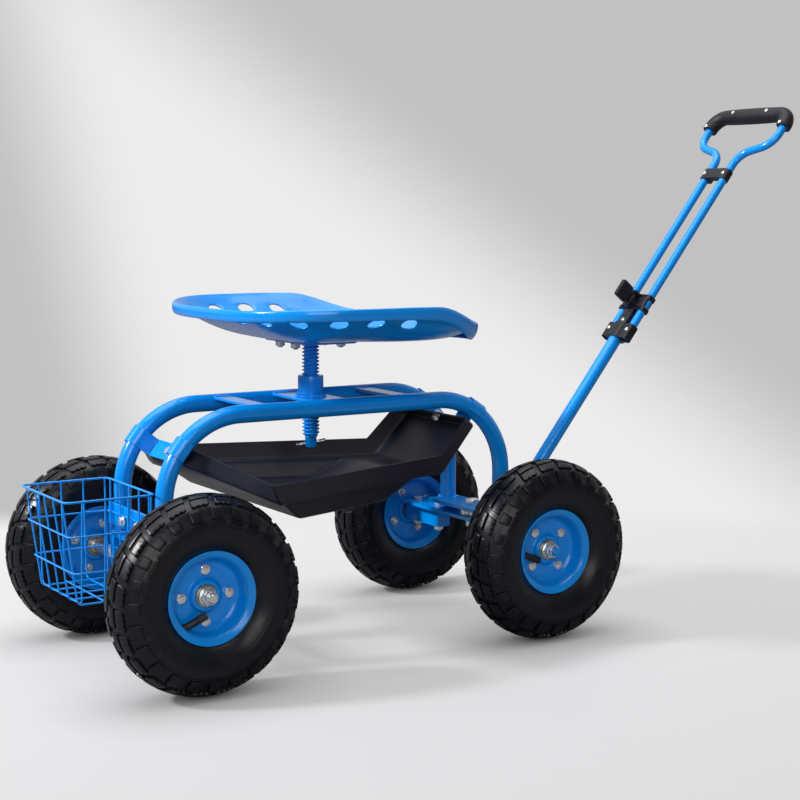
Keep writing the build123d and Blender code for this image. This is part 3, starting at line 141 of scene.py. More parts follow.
def rounded(points, radius, steps=8, closed=False):
    """Line through points with its corners turned to arcs, as far as the neighbouring runs allow."""
    points = [Vector(point) for point in points]
    count = len(points)
    line = []
    for index, corner in enumerate(points):
        if not closed and index in (0, count - 1):
            line.append(corner)
            continue
        back, ahead = points[index - 1] - corner, points[(index + 1) % count] - corner
        spread = back.angle(ahead)
        if spread > NEARLY_STRAIGHT:
            line.append(corner)
            continue
        back_free = END_RUN_SHARE if not closed and index == 1 else INNER_RUN_SHARE
        ahead_free = END_RUN_SHARE if not closed and index == count - 2 else INNER_RUN_SHARE
        run = min(radius / math.tan(spread / 2), back_free * back.length, ahead_free * ahead.length)
        reach = run * math.tan(spread / 2)
        inward = (back.normalized() + ahead.normalized()).normalized()
        middle = corner + inward * (run / math.cos(spread / 2))
        first = corner + back.normalized() * run - middle
        last = corner + ahead.normalized() * run - middle
        sweep = math.pi - spread
        for step in range(steps + 1):
            share = step / steps
            arm = (first * math.sin((1 - share) * sweep) + last * math.sin(share * sweep)) / math.sin(sweep)
            line.append(middle + arm.normalized() * reach)
    return line


def turns_round(count):
    """Angles that part a full turn evenly."""
    return [2 * math.pi * k / count for k in range(count)]


def lofted(rings, closed=False, ends=True):
    """Skin over rings of points; the end rings are filled, unless the last ring joins the first."""
    sides = len(rings[0])
    points = [point for ring in rings for point in ring]
    polygons = []
    for row in range(len(rings) if closed else len(rings) - 1):
        at, ahead = row * sides, (row + 1) % len(rings) * sides
        for k in range(sides):
            m = (k + 1) % sides
            polygons.append((at + k, at + m, ahead + m, ahead + k))
    if ends and not closed:
        polygons.append(tuple(reversed(range(sides))))
        polygons.append(tuple(range(len(points) - sides, len(points))))
    return points, polygons


def tube(path, radius, sides=24, closed=False):
    """Round bar along a path; the radius is one value or one per point."""
    path = [Vector(point) for point in path]
    count = len(path)
    radii = radius if isinstance(radius, list) else [radius] * count
    rings = []
    side = None
    for index, at in enumerate(path):
        before = path[index - 1] if closed or index else at
        after = path[(index + 1) % count] if closed or index < count - 1 else at
        along = (after - before).normalized()
        side = along.orthogonal() if side is None else side - along * side.dot(along)
        side.normalize()
        up = along.cross(side)
        rings.append([at + (side * math.cos(turn) + up * math.sin(turn)) * radii[index]
                      for turn in turns_round(sides)])
    return lofted(rings, closed)


CREASE = 32.0
SAME_POINT = 1e-3
EDGE_SEGMENTS = 3
EDGE_ANGLE = 30.0


def shaped(name, shapes, material, crease=CREASE, bevel=0.0):
    """Mesh from shapes in millimetres; edges sharper than the crease angle stay crisp unless bevelled."""
    points, polygons = [], []
    for shape_points, shape_polygons in shapes:
        start = len(points)
        points += [Vector(point) * MM for point in shape_points]
        polygons += [[start + i for i in polygon] for polygon in shape_polygons]
    mesh = bpy.data.meshes.new(name)
    mesh.from_pydata(points, [], polygons)
    work = bmesh.new()
    work.from_mesh(mesh)
    bmesh.ops.remove_doubles(work, verts=work.verts, dist=SAME_POINT * MM)
    bmesh.ops.recalc_face_normals(work, faces=work.faces)
    work.to_mesh(mesh)
    work.free()
    mesh.materials.append(material)
    mesh.shade_smooth()
    if not bevel:
        mesh.set_sharp_from_angle(angle=math.radians(crease))
    return mesh


def stand_in(name, mesh, body, nodes=(), place=None):
    """Puts a mesh on its body, in the stead of its solids."""
    made = bpy.data.objects.new(name, mesh)
    bpy.context.scene.collection.objects.link(made)
    if place is not None:
        made.matrix_world = place
    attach(made, body)
    if nodes:
        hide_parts(*nodes)
    return made


def bevelled(made, name, width, segments, angle):
    """Rounds an object's edges where its faces meet at more than an angle."""
    edges = made.modifiers.new(name, "BEVEL")
    edges.width = width * MM
    edges.segments = segments
    edges.limit_method = "ANGLE"
    edges.angle_limit = math.radians(angle)


def piece(name, node, shapes, material, body, crease=CREASE, bevel=0.0):
    """One piece, drawn from its shapes, that stands for one solid."""
    made = stand_in(name, shaped(node, shapes, material, crease, bevel), body, [node])
    if bevel:
        bevelled(made, "edges", bevel, EDGE_SEGMENTS, EDGE_ANGLE)
        made.modifiers.new("shading", "WEIGHTED_NORMAL")


rail_spots = {}
for node in ("left_side_rail", "right_side_rail"):
    low, high = corners(node)
    y = (low.y + high.y) / 2
    rear, front, top = low.x + RAIL_RADIUS, high.x - RAIL_RADIUS, high.z - RAIL_RADIUS
    arch = [(rear, y, low.z), (rear, y, top), (front, y, top), (front, y, low.z)]
    bent = tube(rounded(arch, RAIL_BEND, BEND_STEPS), RAIL_RADIUS, RAIL_SIDES)
    piece(node + "_bent_tube", node, [bent], blue_powder_coat, "frame")
    rail_spots[node] = (rear, front, y, top, low.z)
rail_rear, rail_front, rail_y, rail_top, rail_foot = rail_spots["left_side_rail"]


# Cross bars and seat plate: flat steel cut to fit between the rails a little below their crowns.
# Each end is welded to the tubes with a short run of bead that the paint covers.
BAR_WIDTH = 25.0
BAR_SINK = 6.0
PLATE_EDGE = 0.8
BEAD_RADIUS = 2.0
BEAD_SIDES = 10
BEAD_STEP = 0.6
BEAD_RIPPLE = 2.6
BEAD_SWELL = 0.16
BEAD_TAPER = 0.4
BEAD_INSET = 1.0


def rectangle(low_x, low_y, high_x, high_y):
    """Corners of a rectangle in a plane, from its lowest and highest one."""
    return [(low_x, low_y), (high_x, low_y), (high_x, high_y), (low_x, high_y)]


def prism(outline, low, high):
    """Outline in X and Y drawn out along Z."""
    return lofted([[(x, y, z) for x, y in outline] for z in (low, high)])


def slab(low, high):
    """Rectangular block between two corners."""
    return prism(rectangle(low[0], low[1], high[0], high[1]), low[2], high[2])


def weld_bead(path, radius=BEAD_RADIUS, closed=False):
    """Run of weld along a path, swelling where each drop of metal froze."""
    line = [Vector(point) for point in path]
    spaced = [line[0]]
    for a, b in zip(line, line[1:] + line[:1] if closed else line[1:]):
        parts = max(1, round((b - a).length / BEAD_STEP))
        spaced += [a.lerp(b, (k + 1) / parts) for k in range(parts)]
    if closed:
        spaced.pop()
    ripples = [2 * math.pi * k * BEAD_STEP / BEAD_RIPPLE for k in range(len(spaced))]
    radii = [radius * (1 + BEAD_SWELL * math.cos(ripple)) for ripple in ripples]
    if not closed:
        radii[0] = radii[-1] = radius * BEAD_TAPER
    return tube(spaced, radii, BEAD_SIDES, closed)


bar_low, bar_high = corners("cross_bars")
plate_low, plate_high = corners("seat_support_plate")
bar_reach = rail_y - BAR_SINK
bars = [slab((x, -bar_reach, bar_low.z), (x + BAR_WIDTH, bar_reach, bar_high.z))
        for x in (bar_low.x, bar_high.x - BAR_WIDTH)]
piece("cross_bars_flat", "cross_bars", bars, blue_powder_coat, "frame",
      bevel=PLATE_EDGE)
plate = slab((plate_low.x, -bar_reach, plate_low.z), (plate_high.x, bar_reach, plate_high.z))
piece("seat_support_flat", "seat_support_plate", [plate], blue_powder_coat, "frame",
      bevel=PLATE_EDGE)
bead_height = bar_high.z - rail_top
bead_y = rail_y - math.sqrt(RAIL_RADIUS ** 2 - bead_height ** 2)
beads = []
for start, end in ((bar_low.x, bar_low.x + BAR_WIDTH), (plate_low.x, plate_high.x),
                   (bar_high.x - BAR_WIDTH, bar_high.x)):
    for side in (-1, 1):
        for z in (bar_high.z, bar_low.z):
            beads.append(weld_bead([(x, side * bead_y, z) for x in (start + BEAD_INSET, end - BEAD_INSET)]))


# Seat sleeve: a short length of thick tube, bored and threaded for the seat's screw.
# It stands through the seat plate and is welded round its foot.
SLEEVE_RADIUS = 17.8
SLEEVE_BORE = 12.06
SLEEVE_CHAMFER = 0.8
SLEEVE_BEAD = 2.8
SLEEVE_BEAD_OUT = 1.0
SLEEVE_BEAD_RISE = 0.6
ROUND_STEPS = 72


def polar(radius, turn):
    """Point in a plane at a distance and an angle from the middle."""
    return radius * math.cos(turn), radius * math.sin(turn)


def circle(centre, radius, steps=ROUND_STEPS):
    """Level ring of points."""
    return [Vector(centre) + Vector((*polar(radius, turn), 0)) for turn in turns_round(steps)]


def turned(outline, steps=ROUND_STEPS, closed=True):
    """Surface turned about Z from (radius, height) points; a closed outline makes a ring."""
    return lofted([circle((0, 0, z), r, steps) for r, z in outline], closed, ends=False)


def placed(shape, place):
    """The shape moved by a matrix in millimetres."""
    points, polygons = shape
    return [place @ Vector(point) for point in points], polygons


sleeve_low, sleeve_high = corners("seat_sleeve")
seat_x = (sleeve_low.x + sleeve_high.x) / 2
sleeve_outline = rounded(rectangle(SLEEVE_BORE, sleeve_low.z, SLEEVE_RADIUS, sleeve_high.z),
                         SLEEVE_CHAMFER, steps=3, closed=True)
sleeve = placed(turned(sleeve_outline), Matrix.Translation((seat_x, 0, 0)))
piece("threaded_sleeve", "seat_sleeve", [sleeve], blue_powder_coat, "frame")
sleeve_foot = circle((seat_x, 0, plate_high.z + SLEEVE_BEAD_RISE), SLEEVE_RADIUS + SLEEVE_BEAD_OUT)
beads.append(weld_bead(sleeve_foot, SLEEVE_BEAD, closed=True))


# Axle plates: a folded bracket over the rear axle rod and a thick flat plate over the front axle.
# The rails' legs stand on them in rings of weld; the basket's bar is welded behind the rear legs.
BRACKET_THICKNESS = 6.0
BRACKET_FOLD = 5.0
FOOT_BEAD = 2.4
FOOT_BEAD_OUT = 0.8
FOOT_BEAD_RISE = 0.4
BAR_BEAD_SPREAD = 4.5
BAR_BEAD_OUT = 0.6


def strip(line, thickness, width, across):
    """Folded sheet: a line in its own plane, thickened evenly and drawn out across it both ways."""
    line = [Vector(point) for point in line]
    side = Vector(across).normalized() * (width / 2)
    rings = []
    for index, at in enumerate(line):
        before, after = line[max(index - 1, 0)], line[min(index + 1, len(line) - 1)]
        out = (after - before).normalized().cross(side).normalized() * (thickness / 2)
        rings.append([at - out - side, at - out + side, at + out + side, at + out - side])
    return lofted(rings)


low, high = corners("rear_axle_bracket")
half = BRACKET_THICKNESS / 2
mid_x = (low.x + high.x) / 2
wall_ys = (low.y + half, high.y - half)
fold = rounded([(mid_x, wall_ys[0], low.z), (mid_x, wall_ys[0], high.z - half),
                (mid_x, wall_ys[1], high.z - half), (mid_x, wall_ys[1], low.z)], BRACKET_FOLD, steps=6)
bracket = strip(fold, BRACKET_THICKNESS, high.x - low.x, (1, 0, 0))
piece("rear_bracket_fold", "rear_axle_bracket", [bracket], blue_powder_coat, "frame",
      bevel=PLATE_EDGE)
for node in ("front_foot_plate", "basket_mount_bar"):
    piece(node + "_flat", node, [slab(*corners(node))], blue_powder_coat, "frame",
          bevel=PLATE_EDGE)
bar_low, bar_high = corners("basket_mount_bar")
for side in (-1, 1):
    for x in (rail_rear, rail_front):
        foot = circle((x, side * rail_y, rail_foot + FOOT_BEAD_RISE), RAIL_RADIUS + FOOT_BEAD_OUT)
        beads.append(weld_bead(foot, FOOT_BEAD, closed=True))
    for edge in (-1, 1):
        y = side * (rail_y + edge * BAR_BEAD_SPREAD)
        beads.append(weld_bead([(bar_high.x + BAR_BEAD_OUT, y, z)
                                for z in (bar_low.z + BEAD_INSET, bar_high.z - BEAD_INSET)]))
stand_in("frame_welds", shaped("frame_welds", beads, blue_powder_coat), "frame")


# Tray straps: strip steel pressed into two saddles that drop over the rails, with a flat dip between.
# They clip on from above, and one flanged bolt in the dip holds the tray's end wall.
STRAP_THICKNESS = 2.0
STRAP_WIDTH = 26.0
STRAP_SADDLE = 13.05
STRAP_SKIRT = 6.0
STRAP_DIP = 20.0
STRAP_FOLD = 3.0
STRAP_EDGE = 0.5
SADDLE_STEPS = 16
# Each strap's end of the rails, and its angle round their bend from the top.
STRAP_ANGLES = {"rear_tray_strap": (-1, 51.5), "front_tray_strap": (1, 33.0)}


def strap_axes(end, angle):
    """Point on the rails' bend, the way out from it, and the way down along the tubes."""
    turn = math.radians(angle)
    out = Vector((end * math.sin(turn), 0, math.cos(turn)))
    down = Vector((end * math.cos(turn), 0, -math.sin(turn)))
    bend = Vector(((rail_rear if end < 0 else rail_front) - end * RAIL_BEND, 0, rail_top - RAIL_BEND))
    return bend + out * RAIL_BEND, out, down


for node, (end, angle) in STRAP_ANGLES.items():
    at, out, down = strap_axes(end, angle)
    half_line = [(rail_y + STRAP_SADDLE, -STRAP_SKIRT)]
    for k in range(SADDLE_STEPS + 1):
        y, rise = polar(STRAP_SADDLE, k * math.pi / SADDLE_STEPS)
        half_line.append((rail_y + y, rise))
    knee = rounded([half_line[-1], (rail_y - STRAP_SADDLE, -STRAP_DIP), (0, -STRAP_DIP)], STRAP_FOLD,
                   steps=5)
    half_line += [tuple(point) for point in knee[1:]]
    line = half_line + [(-y, rise) for y, rise in reversed(half_line[:-1])]
    bent = [at + Vector((0, y, 0)) + out * rise for y, rise in line]
    strap = strip(bent, STRAP_THICKNESS, STRAP_WIDTH, down)
    piece(node + "_pressing", node, [strap], blue_powder_coat, "frame",
          bevel=STRAP_EDGE)


# Tool tray: a shallow pan with folded ends and a deeper well, vacuum formed from one dark sheet.
# Its two end walls hang from the strap bolts; the rest is free.
TRAY_WALL = 2.5
TRAY_FOLD = 6.0
TRAY_CUT_EDGE = 0.6
TRAY_RIM = 260.0
TRAY_FLOOR = 233.0
TRAY_DRAFT = 7.0
TRAY_MIDDLE = -211.5
# Rear and front fold of the floor: place along the tray, rake of its end wall, half width.
TRAY_ROWS = ((-181.0, 14.0, 208.0), (141.0, 10.0, 101.0))
# End walls under the straps: height of the wall, shift down the tubes, half width.
TRAY_ENDS = {"rear_tray_strap": (24.0, 0.0, 56.0), "front_tray_strap": (24.0, -8.0, 94.0)}
TRAY_HANG = 21.0
WELL_FLOOR = 205.0
WELL_TOP = (-156.0, 102.0)
WELL_BOTTOM = (-120.0, 45.0)
WELL_LEDGE = 8.0
WELL_DRAFT = 8.0

# Vacuum-formed ABS: a matt charcoal sheet with a haircell grain. The eye sees broad soft reflections
# and a very slight mottle; the grain is drawn a little coarser than real so that it shows.
charcoal_abs = finish(
    "charcoal_abs_sheet", {"IOR": 1.53, "Specular IOR Level": 0.36},
    {"mottle": ("ShaderNodeTexNoise", {"Scale": per(26), "Detail": 5.0}, "Fac"),
     "grain": ("ShaderNodeTexVoronoi", {"Scale": per(1.3)}, "Distance")},
    tones=("mottle", "181822", "22222E"), relief=("grain", 0.18, 0.15),
    gloss=("grain", 0.0, 0.8, 0.3, 0.46))

tray_rows = []
for node, (wall, shift, half) in TRAY_ENDS.items():
    at, out, down = strap_axes(*STRAP_ANGLES[node])
    hang = at - out * TRAY_HANG
    tray_rows.append((hang + down * (shift - wall / 2), hang + down * (shift + wall / 2), half))
floor_rows = []
for x, rake, half in TRAY_ROWS:
    x += TRAY_MIDDLE
    floor_rows.append((Vector((x, 0, TRAY_RIM)), Vector((x + rake, 0, TRAY_FLOOR)), half))
tray_rows[1:1] = floor_rows


def tray_half(x):
    """Half width of the pan's floor at a place along it."""
    (rear, _, rear_half), (front, _, front_half) = TRAY_ROWS
    return rear_half + (x - rear) / (front - rear) * (front_half - rear_half) - TRAY_DRAFT


def thickened(made, thickness, even):
    """Gives a drawn sheet its thickness, behind its faces."""
    sheet = made.modifiers.new("sheet", "SOLIDIFY")
    sheet.thickness = thickness * MM
    sheet.offset = -1
    sheet.use_even_offset = even


# Four rows of four points from the rear wall to the front one, then the well's mouth and its floor.
tray_points = []
for top, bottom, half in tray_rows:
    tray_points += [(top.x, half, top.z), (bottom.x, half - TRAY_DRAFT, bottom.z),
                    (bottom.x, TRAY_DRAFT - half, bottom.z), (top.x, -half, top.z)]
for xs, z, inset in ((WELL_TOP, TRAY_FLOOR, WELL_LEDGE),
                     (WELL_BOTTOM, WELL_FLOOR, WELL_LEDGE + WELL_DRAFT)):
    for x, side in ((xs[0], 1), (xs[1], 1), (xs[1], -1), (xs[0], -1)):
        tray_points.append((x + TRAY_MIDDLE, side * (tray_half(x) - inset), z))
floor_ring, well_mouth, well_floor = (5, 9, 10, 6), (16, 17, 18, 19), (20, 21, 22, 23)
tray_faces = [(0, 1, 2, 3), (15, 14, 13, 12), well_floor]
for row in (0, 4, 8):
    for k in (row, row + 1, row + 2):
        if k != floor_ring[0]:
            tray_faces.append((k, k + 4, k + 5, k + 1))
for outer, inner in ((floor_ring, well_mouth), (well_mouth, well_floor)):
    for k in range(4):
        tray_faces.append((outer[k - 1], outer[k], inner[k], inner[k - 1]))
tray_mesh = shaped("tool_tray", [(tray_points, tray_faces)], charcoal_abs, bevel=TRAY_FOLD)
if sum(face.normal.z for face in tray_mesh.polygons) > 0:
    tray_mesh.flip_normals()
tray = stand_in("formed_tray", tray_mesh, "frame", ["tool_tray"])
bevelled(tray, "folds", TRAY_FOLD, segments=4, angle=8)
thickened(tray, TRAY_WALL, even=True)
bevelled(tray, "cut_edge", TRAY_CUT_EDGE, segments=2, angle=50)
tray.modifiers.new("shading", "WEIGHTED_NORMAL")


# Wire basket: straight steel wires laid across bent rings and spot welded, with a thicker rim wire.
# The wires run down one wall, under the floor and up the other; two flanged bolts clamp it to its bar.
WIRE_RADIUS = 1.2
RIM_WIRE_RADIUS = 1.5
WIRE_SIDES = 16
WIRE_BEND = 7.0
WIRE_SINK = 2.1
BASKET_CORNER = 9.0
BASKET_LEVELS = (104.0, 147.5, 195.0, 241.0)
BASKET_DEPTHS = (105.0, 124.0)
BASKET_HALVES = (73.0, 81.0)
BASKET_ROWS_Y = [32.0 * (k - 2) for k in range(5)]
BASKET_ROWS_X = [31.0 * (k - 1.5) for k in range(4)]

basket_front = corners("basket_mount_bar")[0].x
basket_low, basket_top = BASKET_LEVELS[0], BASKET_LEVELS[-1]


def basket_at(z, inset):
    """Back, front and half width of the basket's wall at a height, measured to a wire's middle."""
    share = (z - basket_low) / (basket_top - basket_low)
    depth = BASKET_DEPTHS[0] + share * (BASKET_DEPTHS[1] - BASKET_DEPTHS[0])
    half = BASKET_HALVES[0] + share * (BASKET_HALVES[1] - BASKET_HALVES[0])
    return basket_front - depth + inset, basket_front - inset, half - inset


high = basket_top - RIM_WIRE_RADIUS
low = basket_low + WIRE_RADIUS
wires = []
for z, size in ((BASKET_LEVELS[1], WIRE_RADIUS), (BASKET_LEVELS[2], WIRE_RADIUS), (high, RIM_WIRE_RADIUS)):
    back, front, half = basket_at(z, size)
    loop = rounded([(x, y, z) for x, y in rectangle(back, -half, front, half)], BASKET_CORNER, closed=True)
    wires.append(tube(loop, size, WIRE_SIDES, closed=True))
top_back, top_front, top_half = basket_at(high, WIRE_RADIUS + WIRE_SINK)
low_back, low_front, low_half = basket_at(low, WIRE_RADIUS + WIRE_SINK)
runs = []
for y in BASKET_ROWS_Y:
    runs.append([(top_front, y, high), (low_front, y, low), (low_back, y, low), (top_back, y, high)])
for row in BASKET_ROWS_X:
    x, floor = basket_front - BASKET_DEPTHS[0] / 2 + row, low + WIRE_SINK
    runs.append([(x, -top_half, high), (x, -low_half, floor), (x, low_half, floor), (x, top_half, high)])
wires += [tube(rounded(run, WIRE_BEND), WIRE_RADIUS, WIRE_SIDES) for run in runs]
piece("welded_wire_basket", "basket", wires, blue_powder_coat, "frame")


# Axles and their fasteners: a rear rod through the bracket, and two square bars under the front beam,
# all turned down at the ends. Washers and lock nuts of zinc-plated steel hold the wheels on.
JOURNAL_RADIUS = 5.94
ROD_RADIUS = 8.0
ROD_CHAMFER = 1.0
ROD_STEPS = 48
HUB_REACH = 8.7
WASHER_RADIUS = 13.0
WHEEL_WASHER = 11.6
WASHER_HEIGHT = 2.0
SPACER_RADIUS = 9.0
LOCK_NUT_FLATS = 19.0
LOCK_NUT_HEIGHT = 9.0
LOCK_NUT_COLLAR = 8.6
COLLAR_HEIGHT = 5.0
COLLAR_ROUND = 1.6
STUD_END = 4.0
STUB_BAR = 22.0
STUB_INNER = 76.0

# Bright zinc plate: a thin clear-passivated layer over rolled steel. The eye sees a pale metal with soft
# reflections, cloudy patches of duller grain and a faint cool and warm cast.
zinc_plate = finish(
    "bright_zinc_plate", {"Metallic": 0.75},
    {"cloud": ("ShaderNodeTexNoise", {"Scale": per(4), "Detail": 4.0}, "Fac"),
     "spangle": ("ShaderNodeTexVoronoi", {"Scale": per(1.6)}, "Distance")},
    tones=("cloud", "DADCE0", "ECEBE6"), relief=("cloud", 0.08, 0.1),
    gloss=("spangle", 0.0, 0.9, 0.14, 0.3))

HEXAGON_SIDES = 48
HEXAGON_FACE = 0.475
STUD_STEPS = 40
STUD_PITCH = 1.25
# One turn of a bolt's thread, in pitches: way up from its start and depth under the crest.
STUD_TURN = ((0.25, 0.0), (0.6, 0.45), (0.95, 0.0))


def hexagon(flats, height, both_ends=False):
    """Hexagon on Z = 0 with its corners turned off at 30 degrees on top, or on both ends."""
    face = HEXAGON_FACE * flats
    rings = [[], [], [], []]
    for turn in turns_round(HEXAGON_SIDES):
        reach = flats / 2 / math.cos(turn % (math.pi / 3) - math.pi / 6)
        drop = (reach - face) * math.tan(math.pi / 6)
        foot, step = (face, drop) if both_ends else (reach, 0.0)
        levels = ((foot, 0.0), (reach, step), (reach, height - drop), (face, height))
        for ring, (r, z) in zip(rings, levels):
            ring.append((*polar(r, turn), z))
    return lofted(rings)


def stud(radius, low, high, pitch=STUD_PITCH):
    """Threaded bar end: the crests of its thread and a chamfered tip."""
    outline = [(0, low), (radius - pitch, low), (radius, low + pitch)]
    for k in range(int((high - low - pitch) / pitch)):
        start = low + pitch * (k + 1)
        outline += [(radius - depth * pitch, start + up * pitch) for up, depth in STUD_TURN]
    return turned(outline + [(radius, high), (0, high)], STUD_STEPS, closed=False)


def washer(outer, inner, height, soften=0.4):
    """Flat ring on Z = 0 with softened edges."""
    return turned(rounded(rectangle(inner, 0, outer, height), soften, steps=3, closed=True))


def raised(shape, z):
    """The shape moved up its own axis."""
    return placed(shape, Matrix.Translation((0, 0, z)))


def all_placed(shapes, place):
    """Each of the shapes moved by one matrix in millimetres."""
    return [placed(shape, place) for shape in shapes]


def wheel_place(centre, side, turn=0.0):
    """Matrix that lays +Z on the outward axle line; side is -1 on the right and 1 on the left."""
    return (Matrix.Translation(centre) @ Matrix.Rotation(math.radians(-90 * side), 4, "X")
            @ Matrix.Rotation(math.radians(turn), 4, "Z"))


WHEELS = {"rear_right": -1, "rear_left": 1, "front_right": -1, "front_left": 1}
joints = {joint["name"]: joint for joint in frame["joints"]}
wheel_centres = {wheel: Vector(joints[wheel + "_spin"]["pos_m"]) / MM for wheel in WHEELS}

shoulder = HUB_REACH + WASHER_HEIGHT
stud_reach = shoulder + LOCK_NUT_HEIGHT + COLLAR_HEIGHT + STUD_END
collar = turned(rounded(rectangle(JOURNAL_RADIUS, 0, LOCK_NUT_COLLAR, COLLAR_HEIGHT), COLLAR_ROUND,
                        steps=5, closed=True))
axle_end = [raised(washer(WHEEL_WASHER, JOURNAL_RADIUS, WASHER_HEIGHT), HUB_REACH),
            raised(hexagon(LOCK_NUT_FLATS, LOCK_NUT_HEIGHT), shoulder),
            raised(collar, shoulder + LOCK_NUT_HEIGHT),
            raised(washer(SPACER_RADIUS, JOURNAL_RADIUS, WASHER_HEIGHT), -shoulder)]
journal = placed(stud(JOURNAL_RADIUS, -stud_reach, shoulder), Matrix.Rotation(math.pi, 4, "X"))
beam_low, beam_high = corners("front_axle_beam")
for end, body in (("rear", "frame"), ("front", "front_axle")):
    nuts, bars = [], []
    for hand in ("right", "left"):
        side = WHEELS[f"{end}_{hand}"]
        centre = wheel_centres[f"{end}_{hand}"]
        place = wheel_place(centre, side)
        nuts += all_placed(axle_end, place)
        bars.append(placed(journal, place))
        inner_end = abs(centre.y) - shoulder
        if end == "front":
            ys = sorted((side * STUB_INNER, side * inner_end))
            bars.append(slab((centre.x - STUB_BAR / 2, ys[0], centre.z - STUB_BAR / 2),
                             (centre.x + STUB_BAR / 2, ys[1], beam_low.z)))
    if end == "rear":
        outline = rounded(rectangle(0, -inner_end, ROD_RADIUS, inner_end), ROD_CHAMFER, steps=3)
        rod = turned(outline, ROD_STEPS, closed=False)
        bars.append(placed(rod, Matrix.Translation((centre.x, 0, centre.z))
                           @ Matrix.Rotation(math.pi / 2, 4, "X")))
        piece("rear_axle_bar", "rear_axle_rod", bars, zinc_plate, body)
    else:
        piece("front_stub_bars", "front_stub_axles", bars, blue_powder_coat, body)
    piece(f"{end}_lock_nuts", f"{end}_axle_nuts", nuts, zinc_plate, body)


# Steered front axle: a flat beam that turns on the kingpin bolt under the foot plate, with a thrust
# washer between them, four bolts for the stub bars, and a yoke of folded plate for the pull handle.
KINGPIN_FLATS = 19.0
KINGPIN_HEAD = 7.5
KINGPIN_NUT = 10.0
KINGPIN_RADIUS = 5.94
THRUST_RADIUS = 19.0
THRUST_ROUND = 0.8
RUN_GAP = 0.3
BEAM_EDGE = 0.9
BEAM_BOLT_ROWS = (90.0, 150.0)
BOLT_TAIL = 2.0
# Across the flats, heights of head and nut, and shank radius of an 8 mm bolt.
BOLT_8 = (13.0, 5.3, 6.5, 4.0)
YOKE_PLATE = 4.0
YOKE_FOLD = 3.0
YOKE_ROUND = 11.0
YOKE_EDGE = 0.6
YOKE_PIN_RADIUS = 3.94


def bolt(flats, head, nut, radius, grip, tail=BOLT_TAIL, pitch=STUD_PITCH):
    """Hexagon bolt with its head on Z = 0, its nut under the grip, and its thread's tail out of the nut."""
    return [hexagon(flats, head), raised(hexagon(flats, nut, both_ends=True), -grip - nut),
            stud(radius, -grip - nut - tail, 0, pitch)]


piece("axle_beam_flat", "front_axle_beam", [slab(beam_low, beam_high)], blue_powder_coat, "front_axle",
      bevel=BEAM_EDGE)
front_x = wheel_centres["front_left"].x
foot_low, foot_high = corners("front_foot_plate")
under = beam_low.z - RUN_GAP - WASHER_HEIGHT
kingpin = [raised(hexagon(KINGPIN_FLATS, KINGPIN_HEAD), foot_high.z),
           raised(washer(THRUST_RADIUS, KINGPIN_RADIUS, foot_low.z - beam_high.z - RUN_GAP, THRUST_ROUND),
                  beam_high.z + RUN_GAP),
           raised(washer(WASHER_RADIUS, KINGPIN_RADIUS, WASHER_HEIGHT), under),
           raised(hexagon(KINGPIN_FLATS, KINGPIN_NUT, both_ends=True), under - KINGPIN_NUT),
           stud(KINGPIN_RADIUS, corners("kingpin_bolt")[0].z, foot_high.z)]
kingpin = all_placed(kingpin, Matrix.Translation((front_x, 0, 0)))
piece("kingpin_set", "kingpin_bolt", kingpin, zinc_plate, "frame")
bar_under = wheel_centres["front_left"].z - STUB_BAR / 2
beam_bolt = bolt(*BOLT_8, grip=beam_high.z - bar_under)
beam_bolts = []
for side in (-1, 1):
    for y in BEAM_BOLT_ROWS:
        beam_bolts += all_placed(beam_bolt, Matrix.Translation((front_x, side * y, beam_high.z)))
piece("beam_bolt_set", "beam_bolts", beam_bolts, zinc_plate, "front_axle")

yoke_low, yoke_high = corners("handle_yoke")
inner_y, outer_y = yoke_high.y - YOKE_PLATE, yoke_high.y
ear = rounded(rectangle(yoke_low.x + YOKE_FOLD, yoke_low.z, yoke_high.x, yoke_high.z), YOKE_ROUND,
              steps=10)
yoke = [lofted([[(x, side * y, z) for x, z in ear] for y in (inner_y, outer_y)]) for side in (-1, 1)]
yoke.append(slab((yoke_low.x, -outer_y, yoke_low.z), (yoke_low.x + YOKE_PLATE, outer_y, yoke_high.z)))
piece("handle_yoke_fold", "handle_yoke", yoke, blue_powder_coat, "front_axle",
      bevel=YOKE_EDGE)
pin_at = Vector(joints["handle_tilt"]["pos_m"]) / MM
pin_place = (Matrix.Translation(pin_at) @ Matrix.Rotation(math.pi / 2, 4, "X")
             @ Matrix.Translation((0, 0, outer_y)))
pin = all_placed(bolt(*BOLT_8[:3], YOKE_PIN_RADIUS, grip=2 * outer_y), pin_place)
piece("yoke_pin_bolt", "yoke_pin", pin, zinc_plate, "front_axle")


# Small flanged bolts: the same pressed-flange hexagon bolts and plain nuts of zinc-plated steel hold the
# tray's ends to the straps and the basket's front wires to its bar.
# Across the flats, heights of head and nut, and shank radius of a 6 mm bolt.
BOLT_6 = (10.0, 4.0, 5.0, 3.0)
BOLT_6_TAIL = 1.5
BOLT_6_PITCH = 1.0
FLANGE_RADIUS = 7.1
FLANGE_HEIGHT = 1.2
FLANGE_STEPS = 48
FLANGE_SOFTEN = 0.3
FLANGE_OUTLINE = ((0.0, 0.0), (FLANGE_RADIUS, 0.0), (FLANGE_RADIUS, 0.6 * FLANGE_HEIGHT),
                  (5.4, 1.5 * FLANGE_HEIGHT), (0.0, 2.0))
BASKET_BOLT_Y = 25.0
BASKET_BOLT_Z = 188.0


